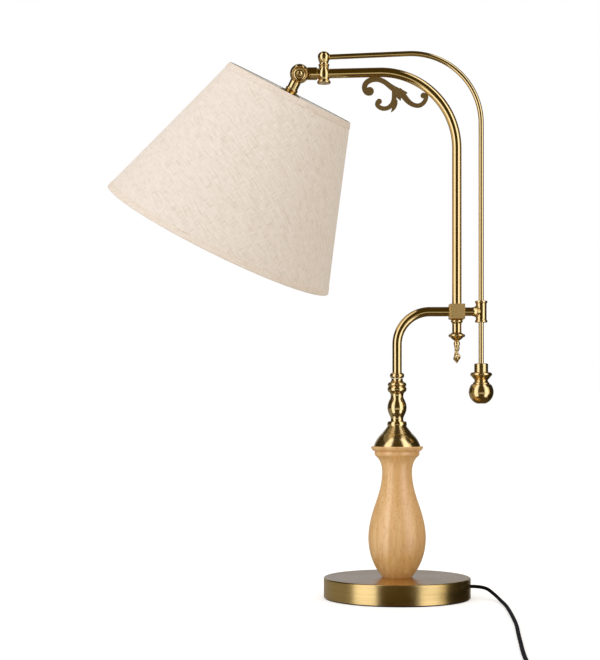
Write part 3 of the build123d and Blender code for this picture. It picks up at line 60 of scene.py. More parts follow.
Point = tuple[float, float, float]
Colour = tuple[float, float, float, float]
Profile = list[tuple[float, float, float]]

WHITE: Colour = (1.0, 1.0, 1.0, 1.0)
FINE_BUMP = 0.0002
QUARTER_TURN = math.pi / 2


class Body(Enum):
    """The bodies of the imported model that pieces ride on."""

    STAND = "stand"
    ARM = "arm"
    HEAD = "head"
    ROCKER = "rocker"


class Axis(Enum):
    """How a turned piece's own axis stands in the frame."""

    STEM = "stem"
    BLOCK = "block"
    ROD = "rod"
    FITTING = "fitting"
    ROLL = "roll"
    KNUCKLE = "knuckle"
    HEAD = "head"


UPRIGHT_X = {Axis.STEM: 0.0, Axis.BLOCK: 0.0693, Axis.ROD: 0.0976, Axis.FITTING: -0.0849}
KNUCKLE_X = -0.1132
ROLL_HEIGHT = 0.6083133
HEAD_LEAN = math.radians(12.8)
HEAD_TILT = math.radians(26.4)


def knuckle_matrix() -> Matrix:
    """The knuckle's frame at rest: its X along the arm's end, leaning to the back."""
    place = Matrix.Translation((KNUCKLE_X, 0.0, ROLL_HEIGHT))
    return place @ Matrix.Rotation(HEAD_LEAN, 4, "X")


def head_matrix() -> Matrix:
    """The head's frame at rest: the shade hangs along its -Z from the knuckle."""
    return knuckle_matrix() @ Matrix.Rotation(HEAD_TILT, 4, "Y")


def axis_matrix(axis: Axis) -> Matrix:
    """Where a turned piece's own Z axis stands.

    Args:
        axis: which axis of the lamp.

    Returns:
        The matrix from the piece's own frame to the lamp's.
    """
    if axis in UPRIGHT_X:
        return Matrix.Translation((UPRIGHT_X[axis], 0.0, 0.0))
    if axis is Axis.ROLL:
        return Matrix.Translation((0.0, 0.0, ROLL_HEIGHT)) @ Matrix.Rotation(QUARTER_TURN, 4, "Y")
    if axis is Axis.KNUCKLE:
        return knuckle_matrix() @ Matrix.Rotation(QUARTER_TURN, 4, "X")
    return head_matrix()


def srgb(red: int, green: int, blue: int) -> Colour:
    """A colour written as it looks on screen, turned into Blender's linear values.

    Args:
        red: red from 0 to 255.
        green: green from 0 to 255.
        blue: blue from 0 to 255.

    Returns:
        The linear colour with an alpha of one.
    """
    def linear(value: float) -> float:
        """One channel from screen to linear."""
        return value / 12.92 if value <= 0.04045 else ((value + 0.055) / 1.055) ** 2.4

    return (linear(red / 255), linear(green / 255), linear(blue / 255), 1.0)


def eased(share: float) -> float:
    """A share from 0 to 1, held at its ends and starting and ending gently."""
    share = min(max(share, 0.0), 1.0)
    return share * share * (3 - 2 * share)


# Node graphs


class Graph:
    """Short calls for building one node tree."""

    def __init__(self, tree: NodeTree) -> None:
        """Keeps the tree that the calls add to."""
        self.tree = tree

    def add(self, kind: str, inputs: dict[Any, Any] | None = None, **settings: Any) -> Node:
        """Adds one node.

        Args:
            kind: the node's type.
            inputs: values or sockets for its inputs, by name or number.
            settings: the node's own properties.

        Returns:
            The new node.
        """
        node = self.tree.nodes.new(kind)
        for name, value in settings.items():
            setattr(node, name, value)
        for name, value in (inputs or {}).items():
            self.feed(node.inputs[name], value)
        return node

    def feed(self, socket: NodeSocket, value: Any) -> None:
        """Gives an input what it reads.

        Args:
            socket: the input.
            value: another socket, which is linked to it, or a plain value.
        """
        if isinstance(value, NodeSocket):
            self.tree.links.new(value, socket)
        else:
            socket.default_value = value

    def maths(self, operation: str, first: Any, second: Any = 0.0, clamp: bool = False) -> NodeSocket:
        """One Math node's result."""
        node = self.add("ShaderNodeMath", {0: first, 1: second}, operation=operation, use_clamp=clamp)
        return node.outputs[0]

    def times(self, first: Any, second: Any) -> NodeSocket:
        """Two values multiplied."""
        return self.maths("MULTIPLY", first, second)

    def weighed(self, first: Any, first_share: float, second: Any, second_share: float) -> NodeSocket:
        """Two values added, each times its share."""
        return self.maths("ADD", self.times(first, first_share), self.times(second, second_share))

    def blend(self, factor: Any, first: Any, second: Any) -> NodeSocket:
        """Two colours mixed by a factor."""
        return self.add("ShaderNodeMix", {0: factor, 6: first, 7: second}, data_type="RGBA").outputs[2]

    def remap(
        self, value: Any, low: float, high: float, out_low: float = 0.0, out_high: float = 1.0
    ) -> NodeSocket:
        """A value taken from one range to another, clamped at its ends."""
        sizes = {"Value": value, 1: low, 2: high, 3: out_low, 4: out_high}
        return self.add("ShaderNodeMapRange", sizes).outputs[0]

    def noise(self, vector: Any, scale: Any, detail: float = 2.0, roughness: float = 0.5) -> NodeSocket:
        """A noise value at a place."""
        sizes = {"Vector": vector, "Scale": scale, "Detail": detail, "Roughness": roughness}
        return self.add("ShaderNodeTexNoise", sizes).outputs[0]

    def drawn_noise(self, vector: Any, scale: Point, detail: float, roughness: float = 0.5) -> NodeSocket:
        """A noise value whose scale differs along each axis."""
        drawn = self.add("ShaderNodeVectorMath", {0: vector, 1: scale}, operation="MULTIPLY")
        return self.noise(drawn.outputs[0], 1.0, detail, roughness)

    def bump(self, height: Any, strength: float, distance: float = FINE_BUMP) -> NodeSocket:
        """A bumped normal."""
        sizes = {"Strength": strength, "Distance": distance, "Height": height}
        return self.add("ShaderNodeBump", sizes).outputs[0]

    def effect(self, tree: NodeTree, place: NodeSocket, **values: Any) -> Any:
        """Places a shared group.

        Args:
            tree: the group.
            place: the coordinates that its pattern lies on.
            values: its other inputs, by their names in small letters.

        Returns:
            The group's outputs, by name.
        """
        inputs = {name.replace("_", " ").title(): value for name, value in values.items()}
        return self.add("ShaderNodeGroup", {"Place": place, **inputs}, node_tree=tree).outputs


class GroupBuilder:
    """Builds one shader node group that reads a place and has named inputs and outputs."""

    def __init__(self, name: str, inputs: dict[str, float | Colour], outputs: tuple[str, ...]) -> None:
        """Makes the group and its sockets.

        Args:
            name: the group's name.
            inputs: the first value of each input beside Place, a number or a colour.
            outputs: the outputs' names. Colour is a colour and the others are numbers.
        """
        number, colour = "NodeSocketFloat", "NodeSocketColor"
        self.tree = bpy.data.node_groups.new(name, "ShaderNodeTree")
        face = self.tree.interface
        face.new_socket("Place", in_out="INPUT", socket_type="NodeSocketVector")
        for label, value in inputs.items():
            kind = colour if isinstance(value, tuple) else number
            face.new_socket(label, in_out="INPUT", socket_type=kind).default_value = value
        for label in outputs:
            face.new_socket(label, in_out="OUTPUT", socket_type=colour if label == "Colour" else number)
        self.graph = Graph(self.tree)
        self.given = self.tree.nodes.new("NodeGroupInput").outputs
        self.end = self.tree.nodes.new("NodeGroupOutput")

    def give(self, **results: Any) -> NodeTree:
        """Ends the group.

        Args:
            results: what each output gives, by its name in small letters.

        Returns:
            The finished group.
        """
        for label, value in results.items():
            self.graph.feed(self.end.inputs[label.title()], value)
        return self.tree


class Effects:
    """The patterns that the finishes read, each a shader node group built once."""

    def __init__(self) -> None:
        """Builds every group."""
        self.lathe = self.lathe_lines()
        self.tarnish = self.tarnish_clouds()
        self.grain = self.wood_grain()
        self.weave = self.cloth_weave()
        self.speckle = self.fine_speckle()

    @staticmethod
    def lathe_lines() -> NodeTree:
        """Fine rings that a lathe or a brush leaves round a turned piece's Z axis.

        Returns:
            The group, whose Drift is the scale at which the rings wander.
        """
        wander, broad_scale = 0.0012, 0.2
        group = GroupBuilder("lathe_lines", {"Fineness": 1800.0, "Drift": 6.0}, ("Height", "Tone"))
        graph, place, fineness = group.graph, group.given["Place"], group.given["Fineness"]
        parts = graph.add("ShaderNodeSeparateXYZ", {0: place}).outputs
        flat = graph.add("ShaderNodeCombineXYZ", {0: parts[0], 1: parts[1]}).outputs[0]
        radius = graph.add("ShaderNodeVectorMath", {0: flat}, operation="LENGTH").outputs["Value"]
        shift = graph.times(graph.noise(place, group.given["Drift"], detail=1.0), wander)
        moved = {0: graph.maths("ADD", radius, shift), 2: graph.maths("ADD", parts[2], shift)}
        ring = graph.add("ShaderNodeCombineXYZ", moved).outputs[0]
        fine = graph.noise(ring, fineness, detail=2.0, roughness=0.6)
        broad = graph.noise(ring, graph.times(fineness, broad_scale), detail=1.0)
        return group.give(height=fine, tone=graph.weighed(fine, 0.6, broad, 0.4))

    @staticmethod
    def tarnish_clouds() -> NodeTree:
        """Soft clouds where a lacquered metal has dulled.

        Returns:
            The group.
        """
        group = GroupBuilder("tarnish_clouds", {"Cloud Size": 14.0}, ("Cloud",))
        cloud = group.graph.noise(group.given["Place"], group.given["Cloud Size"])
        return group.give(cloud=group.graph.remap(cloud, low=0.35, high=0.7))

    @staticmethod
    def wood_grain() -> NodeTree:
        """Straight pale grain along Z with growth rings, pores and a few darker streaks.

        Returns:
            The group.
        """
        sway, streak_share, pore_share, fleck_share, pore_depth = 0.02, 0.4, 0.6, 0.6, 0.8
        group = GroupBuilder(
            "wood_grain", {"Pale": WHITE, "Warm": WHITE, "Dark": WHITE}, ("Colour", "Pores", "Height")
        )
        graph, place, dark = group.graph, group.given["Place"], group.given["Dark"]
        bend = graph.times(graph.drawn_noise(place, scale=(9.0, 9.0, 3.2), detail=2.0), sway)
        shift = graph.add("ShaderNodeCombineXYZ", {0: bend}).outputs[0]
        bent = graph.add("ShaderNodeVectorMath", {0: place, 1: shift}, operation="ADD").outputs[0]
        bands = graph.drawn_noise(bent, scale=(150.0, 60.0, 4.0), detail=3.0, roughness=0.55)
        streak = graph.drawn_noise(bent, scale=(620.0, 420.0, 9.0), detail=2.0, roughness=0.6)
        speck = graph.drawn_noise(place, scale=(1300.0, 1300.0, 75.0), detail=1.0)
        pores = graph.remap(speck, low=0.6, high=0.72)
        fleck = graph.drawn_noise(place, scale=(900.0, 500.0, 160.0), detail=0.0)
        growth = graph.remap(bands, low=0.36, high=0.66)
        colour = graph.blend(growth, group.given["Pale"], group.given["Warm"])
        for mask in (
            graph.remap(streak, low=0.52, high=0.75, out_high=streak_share),
            graph.times(pores, pore_share),
            graph.remap(fleck, low=0.79, high=0.84, out_high=fleck_share),
        ):
            colour = graph.blend(mask, colour, dark)
        height = graph.maths("SUBTRACT", streak, graph.times(pores, pore_depth))
        return group.give(colour=colour, pores=pores, height=height)

    @staticmethod
    def cloth_weave() -> NodeTree:
        """Plain linen weave on a flat cloth's own coordinates in metres, with thick slubbed threads.

        Returns:
            The group.
        """
        drawn_out, apart, thread_height = 0.05, 3.7, 0.25
        group = GroupBuilder(
            "cloth_weave", {"Threads": 1300.0, "Slub Spacing": 850.0}, ("Height", "Tone", "Slubs")
        )
        graph, spacing = group.graph, group.given["Slub Spacing"]
        parts = graph.add("ShaderNodeSeparateXYZ", {0: group.given["Place"]}).outputs
        crests, lines = [], []
        for across, along in ((0, 1), (1, 0)):
            turn = graph.times(graph.times(parts[across], group.given["Threads"]), math.pi)
            crests.append(graph.maths("ABSOLUTE", graph.maths("SINE", turn)))
            close = graph.times(parts[across], spacing)
            drawn = graph.times(parts[along], graph.times(spacing, drawn_out))
            line = graph.add("ShaderNodeCombineXYZ", {across: close, along: drawn, 2: apart * across})
            lines.append(graph.noise(line.outputs[0], 1.0, detail=1.0))
        slubs = [graph.remap(line, low=0.62, high=0.76) for line in lines]
        tone = graph.weighed(lines[0], 0.5, lines[1], 0.5)
        height = graph.maths("ADD", graph.times(graph.times(*crests), thread_height), tone)
        return group.give(height=height, tone=tone, slubs=graph.maths("MAXIMUM", *slubs))

    @staticmethod
    def fine_speckle() -> NodeTree:
        """A fine grain over a broad one, for plain materials and frosted glass.

        Returns:
            The group.
        """
        broad_scale = 0.05
        group = GroupBuilder("fine_speckle", {"Fineness": 2500.0}, ("Height", "Tone"))
        graph, place, fineness = group.graph, group.given["Place"], group.given["Fineness"]
        fine = graph.noise(place, fineness, detail=3.0, roughness=0.65)
        broad = graph.noise(place, graph.times(fineness, broad_scale))
        return group.give(height=fine, tone=graph.weighed(fine, 0.5, broad, 0.5))


def blank_material(name: str) -> tuple[Material, Graph, NodeSocket]:
    """Starts a material.

    Args:
        name: the material's name.

    Returns:
        The material, its graph, and the socket that its surface goes to.
    """
    material = bpy.data.materials.new(name)
    material.use_nodes = True
    material.node_tree.nodes.clear()
    graph = Graph(material.node_tree)
    return material, graph, graph.add("ShaderNodeOutputMaterial").inputs["Surface"]


@dataclass(frozen=True)
class Finish:
    """A finish that can be put on pieces, with its own material for each place it needs."""

    name: str

    def begin(self, suffix: str = "") -> tuple[Material, Graph, Any]:
        """Starts a material with one shader.

        Args:
            suffix: what tells this material from others of the same finish.

        Returns:
            The material, its graph and its Principled shader's inputs.
        """
        material, graph, surface = blank_material(self.name + suffix)
        shader = graph.add("ShaderNodeBsdfPrincipled")
        graph.feed(surface, shader.outputs[0])
        return material, graph, shader.inputs

    @staticmethod
    def coordinates(graph: Graph, axis: Axis | None = None) -> NodeSocket:
        """Object coordinates, turned into a turned piece's own frame where it has an axis.

        Args:
            graph: the material's graph.
            axis: the axis that the pattern runs round.

        Returns:
            The coordinates' socket.
        """
        place = graph.add("ShaderNodeTexCoord").outputs["Object"]
        if axis is None or axis is Axis.STEM:
            return place
        inverse = axis_matrix(axis).inverted()
        turned = {"Location": inverse.to_translation(), "Rotation": inverse.to_euler("XYZ")}
        return graph.add("ShaderNodeMapping", {"Vector": place, **turned}).outputs[0]


@dataclass(frozen=True)
class Brass(Finish):
    """Lacquered brass, from polished to brushed."""

    colour: Colour = (0.82, 0.59, 0.235, 1.0)
    dark: Colour = (0.5, 0.31, 0.1, 1.0)
    roughness: float = 0.16
    roughness_spread: float = 0.08
    cloud_size: float = 14.0
    cloud_share: float = 0.1
    line_height: float = 0.02
    line_fineness: float = 1800.0
    line_drift: float = 6.0
    line_limits: tuple[float, float] = (0.4, 0.62)
    line_share: float = 0.0

    def build(self, effects: Effects, axis: Axis | None = None) -> Material:
        """Makes the material.

        Args:
            effects: the shared node groups.
            axis: the axis that its lathe lines run round, or none where it has no lines.

        Returns:
            The material.
        """
        material, graph, shader = self.begin("" if axis is None else "_" + axis.value)
        place = self.coordinates(graph, axis)
        cloud = graph.effect(effects.tarnish, place, cloud_size=self.cloud_size)["Cloud"]
        colour = graph.blend(graph.times(cloud, self.cloud_share), self.colour, self.dark)
        rough = graph.maths("ADD", self.roughness, graph.times(cloud, self.roughness_spread))
        if axis is not None:
            lathe = graph.effect(effects.lathe, place, fineness=self.line_fineness, drift=self.line_drift)
            if self.line_share > 0.0:
                lines = graph.remap(lathe["Tone"], *self.line_limits, out_high=self.line_share)
                colour = graph.blend(lines, colour, self.dark)
            rough = graph.maths("ADD", rough, graph.times(lathe["Tone"], self.roughness_spread))
            graph.feed(shader["Normal"], graph.bump(lathe["Height"], self.line_height))
        graph.feed(shader["Base Color"], colour)
        graph.feed(shader["Roughness"], rough)
        graph.feed(shader["Metallic"], 1.0)
        return material


@dataclass(frozen=True)
class Wood(Finish):
    """Pale turned wood under a thin satin lacquer."""

    pale: Colour = srgb(238, 193, 132)
    warm: Colour = srgb(224, 172, 106)
    dark: Colour = srgb(172, 117, 64)
    smooth: float = 0.33
    porous: float = 0.5
    relief: float = 0.12
    lacquer_ior: float = 1.85
    lacquer_tint: Colour = (1.0, 0.9, 0.72, 1.0)

    def build(self, effects: Effects) -> Material:
        """Makes the material.

        Args:
            effects: the shared node groups.

        Returns:
            The material.
        """
        material, graph, shader = self.begin()
        place = self.coordinates(graph)
        grain = graph.effect(effects.grain, place, pale=self.pale, warm=self.warm, dark=self.dark)
        graph.feed(shader["Base Color"], grain["Colour"])
        graph.feed(shader["Roughness"], graph.remap(grain["Pores"], 0.0, 1.0, self.smooth, self.porous))
        graph.feed(shader["Normal"], graph.bump(grain["Height"], self.relief))
        graph.feed(shader["IOR"], self.lacquer_ior)
        graph.feed(shader["Specular Tint"], self.lacquer_tint)
        return material


@dataclass(frozen=True)
class Linen(Finish):
    """Cream linen, on a flat cloth's own coordinates in metres."""

    pale: Colour = srgb(240, 229, 217)
    warm: Colour = srgb(226, 211, 194)
    slub: Colour = srgb(176, 154, 130)
    slub_share: float = 0.34
    slub_spacing: float = 1800.0
    threads: float = 1300.0
    turn: float = math.radians(30)
    relief: float = 0.2
    relief_depth: float = 0.0004
    roughness: float = 0.86
    slub_roughness: float = 0.72
    sheen: float = 0.1
    sheen_roughness: float = 0.5

    def build(self, effects: Effects) -> Material:
        """Makes the material.

        Args:
            effects: the shared node groups.

        Returns:
            The material.
        """
        material, graph, shader = self.begin()
        flat = graph.add("ShaderNodeUVMap", uv_map="cut").outputs[0]
        turned = graph.add("ShaderNodeMapping", {"Vector": flat, "Rotation": (0.0, 0.0, self.turn)})
        weave = graph.effect(
            effects.weave, turned.outputs[0], threads=self.threads, slub_spacing=self.slub_spacing
        )
        colour = graph.blend(graph.remap(weave["Tone"], low=0.4, high=0.6), self.pale, self.warm)
        colour = graph.blend(graph.times(weave["Slubs"], self.slub_share), colour, self.slub)
        graph.feed(shader["Base Color"], colour)
        rough = graph.remap(weave["Slubs"], 0.0, 1.0, self.roughness, self.slub_roughness)
        graph.feed(shader["Roughness"], rough)
        graph.feed(shader["Normal"], graph.bump(weave["Height"], self.relief, self.relief_depth))
        graph.feed(shader["Sheen Weight"], self.sheen)
        graph.feed(shader["Sheen Roughness"], self.sheen_roughness)
        return material


@dataclass(frozen=True)
class Grained(Finish):
    """A plain material with a fine grain, such as plastic, rubber, felt, enamel or a dull metal."""

    colour: Colour
    other: Colour
    roughness: float
    metallic: float
    fineness: float
    height: float
    sheen: float = 0.0
    shine: float = 0.5
    spread: tuple[float, float] = (-0.05, 0.07)

    def build(self, effects: Effects) -> Material:
        """Makes the material.

        Args:
            effects: the shared node groups.

        Returns:
            The material.
        """
        material, graph, shader = self.begin()
        speckle = graph.effect(effects.speckle, self.coordinates(graph), fineness=self.fineness)
        smoother, rougher = (self.roughness + step for step in self.spread)
        tone = graph.remap(speckle["Tone"], low=0.35, high=0.65)
        rough = graph.remap(speckle["Tone"], 0.3, 0.7, smoother, rougher)
        graph.feed(shader["Base Color"], graph.blend(tone, self.colour, self.other))
        graph.feed(shader["Roughness"], rough)
        graph.feed(shader["Normal"], graph.bump(speckle["Height"], self.height))
        graph.feed(shader["Metallic"], self.metallic)
        graph.feed(shader["Sheen Weight"], self.sheen)
        graph.feed(shader["Specular IOR Level"], self.shine)
        return material


@dataclass(frozen=True)
class OpalGlass(Finish):
    """The bulb's white frosted glass."""

    colour: Colour = srgb(244, 242, 236)
    cloud: Colour = srgb(236, 233, 226)
    fineness: float = 900.0
    roughness: tuple[float, float] = (0.22, 0.3)
    coat: float = 0.4
    coat_roughness: float = 0.1

    def build(self, effects: Effects) -> Material:
        """Makes the material.

        Args:
            effects: the shared node groups.

        Returns:
            The material.
        """
        material, graph, shader = self.begin()
        speckle = graph.effect(effects.speckle, self.coordinates(graph), fineness=self.fineness)
        tone = graph.remap(speckle["Tone"], low=0.3, high=0.7)
        graph.feed(shader["Base Color"], graph.blend(tone, self.colour, self.cloud))
        graph.feed(shader["Roughness"], graph.remap(tone, 0.0, 1.0, *self.roughness))
        graph.feed(shader["Coat Weight"], self.coat)
        graph.feed(shader["Coat Roughness"], self.coat_roughness)
        return material


class BrassKind(Enum):
    """The ways that the lamp's brass is finished."""

    POLISHED = Brass("polished_brass", roughness=0.08, roughness_spread=0.03, line_height=0.006)
    SATIN = Brass("satin_brass", roughness=0.1, roughness_spread=0.03, line_height=0.01)
    TURNED = Brass("turned_brass", roughness=0.13, roughness_spread=0.03, line_height=0.006)
    SOFT = Brass("soft_brass", roughness=0.16, roughness_spread=0.02, line_height=0.004)
    BRUSHED = Brass(
        "brushed_brass",
        colour=(0.79, 0.54, 0.185, 1.0),
        roughness=0.19,
        roughness_spread=0.06,
        line_height=0.06,
        line_fineness=1100.0,
        line_share=0.4,
    )
    LINISHED = Brass("linished_brass", colour=(0.88, 0.59, 0.2, 1.0), roughness=0.5, roughness_spread=0.05)
    DULLED = Brass("dulled_brass", colour=(0.7, 0.46, 0.16, 1.0), roughness=0.34, roughness_spread=0.05)


BLACK_PLASTIC = Grained("black_plastic", srgb(20, 20, 21), srgb(28, 28, 29), 0.38, 0.0, 3000.0, 0.12)


# Meshes


def new_object(name: str, mesh: Mesh) -> Object:
    """Links a mesh into the scene.

    Args:
        name: the object's name.
        mesh: its mesh.

    Returns:
        The object, at the origin.
    """
    piece = bpy.data.objects.new(name, mesh)
    bpy.context.collection.objects.link(piece)
    return piece


def outward_mesh(work: bmesh.types.BMesh, mesh: Mesh) -> Mesh:
    """Ends the work on a mesh.

    Args:
        work: the mesh being worked on, freed here.
        mesh: the mesh that takes the result.

    Returns:
        The mesh, its faces pointing outwards.
    """
    bmesh.ops.recalc_face_normals(work, faces=work.faces)
    work.to_mesh(mesh)
    work.free()
    return mesh


def smooth_mesh(name: str, points: list[Point], faces: list[tuple[int, ...]]) -> Mesh:
    """A smooth-shaded mesh whose faces point outwards.

    Args:
        name: the mesh's name.
        points: its vertices.
        faces: its faces, as rows of vertex numbers.

    Returns:
        The mesh.
    """
    mesh = bpy.data.meshes.new(name)
    mesh.from_pydata(points, [], faces)
    work = bmesh.new()
    work.from_mesh(mesh)
    bmesh.ops.remove_doubles(work, verts=work.verts, dist=1e-7)
    outward_mesh(work, mesh)
    mesh.polygons.foreach_set("use_smooth", [True] * len(mesh.polygons))
    return mesh


def grown_mesh(name: str, tree: NodeTree, values: dict[str, Any]) -> Mesh:
    """Runs a geometry node tree once and keeps its result as a plain mesh.

    Args:
        name: the mesh's name.
        tree: the node tree.
        values: its named inputs.

    Returns:
        The finished mesh, its faces pointing outwards.
    """
    seed = new_object(name + "_seed", bpy.data.meshes.new(name + "_seed"))
    modifier = seed.modifiers.new(name, "NODES")
    modifier.node_group = tree
    for item in tree.interface.items_tree:
        if item.in_out == "INPUT" and item.name in values:
            modifier[item.identifier] = values[item.name]
    ready = seed.evaluated_get(bpy.context.evaluated_depsgraph_get())
    mesh = bpy.data.meshes.new_from_object(ready)
    mesh.name = name
    seed.modifiers.remove(modifier)
    bpy.data.objects.remove(seed)
    work = bmesh.new()
    work.from_mesh(mesh)
    return outward_mesh(work, mesh)


# Cord


@dataclass
class MainsCord:
    """The mains cord from the base through its switch and coil into the plug."""

    diameter: float = 0.004
    length: float = 1.8
    exit: Point = (0.085, 0.0, 0.0135)
    switch_x: float = 0.078
    switch_ends: tuple[float, float] = (-0.545, -0.605)
    switch_height: float = 0.004
    sleeve: float = 0.006
    dip: tuple[float, float] = (0.020, 0.0028)
    lying_height: float = 0.00205
    coil_centre_y: float = -0.640
    coil_radius: float = 0.0363
    coil_pitch: float = 0.0054
    coil_rise: float = 0.0045
    turns_per_layer: int = 3
    points_per_turn: int = 24
    round_steps: int = 5
    steps_per_point: int = 8
    plug_face_y: float = -0.628
    plug_reach: float = 0.010
    run: tuple[Point, ...] = (
        (0.101, 0.0, 0.0135),
        (0.110, -0.016, 0.0072),
        (0.1146, -0.045, 0.0026),
        (0.1152, -0.084, 0.00205),
        (0.1126, -0.130, 0.00205),
        (0.1094, -0.178, 0.00205),
        (0.105, -0.234, 0.00205),
        (0.0984, -0.290, 0.00205),
        (0.0922, -0.348, 0.00205),
        (0.086, -0.404, 0.00205),
        (0.082, -0.452, 0.00205),
        (0.0788, -0.494, 0.00205),
        (0.078, -0.522, 0.004),
    )

    def coil_points(self) -> list[Point]:
        """The coil's turns: inwards on the table, up, and outwards on top of them.

        Returns:
            The points, from the switch's side to the plug's.
        """
        half_turns = 2 * self.turns_per_layer
        centre_x = self.switch_x - self.coil_radius
        points = []
        for step in range((2 * half_turns + 1) * self.points_per_turn // 2 + 1):
            crossing = 2 * step / self.points_per_turn
            inward = min(crossing, half_turns)
            outward = max(crossing - half_turns - 1, 0.0)
            climbed = min(max(crossing - half_turns, 0.0), 1.0)
            radius = self.coil_radius - (inward - outward) * self.coil_pitch / 2
            angle = -math.pi * crossing
            across, along = radius * math.cos(angle), radius * math.sin(angle)
            height = self.lying_height + self.coil_rise * climbed
            points.append((centre_x + across, self.coil_centre_y + along, height))
        return points

    def points(self) -> list[Point]:
        """The spline's control points.

        Returns:
            The points, from the base to inside the plug.
        """
        start, end = self.switch_ends
        dip_reach, dip_height = self.dip
        places = (start, (start + end) / 2, end, end - self.sleeve)
        through_switch = [(self.switch_x, place, self.switch_height) for place in places]
        through_switch.append((self.switch_x, end - dip_reach, dip_height))
        coil = self.coil_points()
        last_x, last_y, last_height = coil[-1]
        places = (last_y + self.sleeve, self.plug_face_y, self.plug_face_y + self.plug_reach)
        tail = [(last_x, place, last_height) for place in places]
        return [self.exit, *self.run, *through_switch, *coil, *tail]

    def build(self, material: Material, carried: list[Object]) -> Object:
        """Args:
            material: the cord's material.
            carried: the scene's own pieces that lie on the switch and the plug; not used.

        Returns:
            The cord's curve object.
        """
        curve = bpy.data.curves.new("mains_cord", "CURVE")
        curve.dimensions = "3D"
        curve.bevel_depth = self.diameter / 2
        curve.bevel_resolution = self.round_steps
        curve.resolution_u = self.steps_per_point
        curve.use_fill_caps = True
        spline = curve.splines.new("NURBS")
        places = self.points()
        spline.points.add(len(places) - 1)
        for target, place in zip(spline.points, places):
            target.co = (*place, 1.0)
        spline.order_u = 3
        spline.use_endpoint_u = True
        spline.use_smooth = True
        cord = bpy.data.objects.new("mains_cord", curve)
        bpy.context.collection.objects.link(cord)
        curve.materials.append(material)
        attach(cord, Body.STAND.value)
        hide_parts("cord_lead", "cord_coil")
        return cord


# Shade


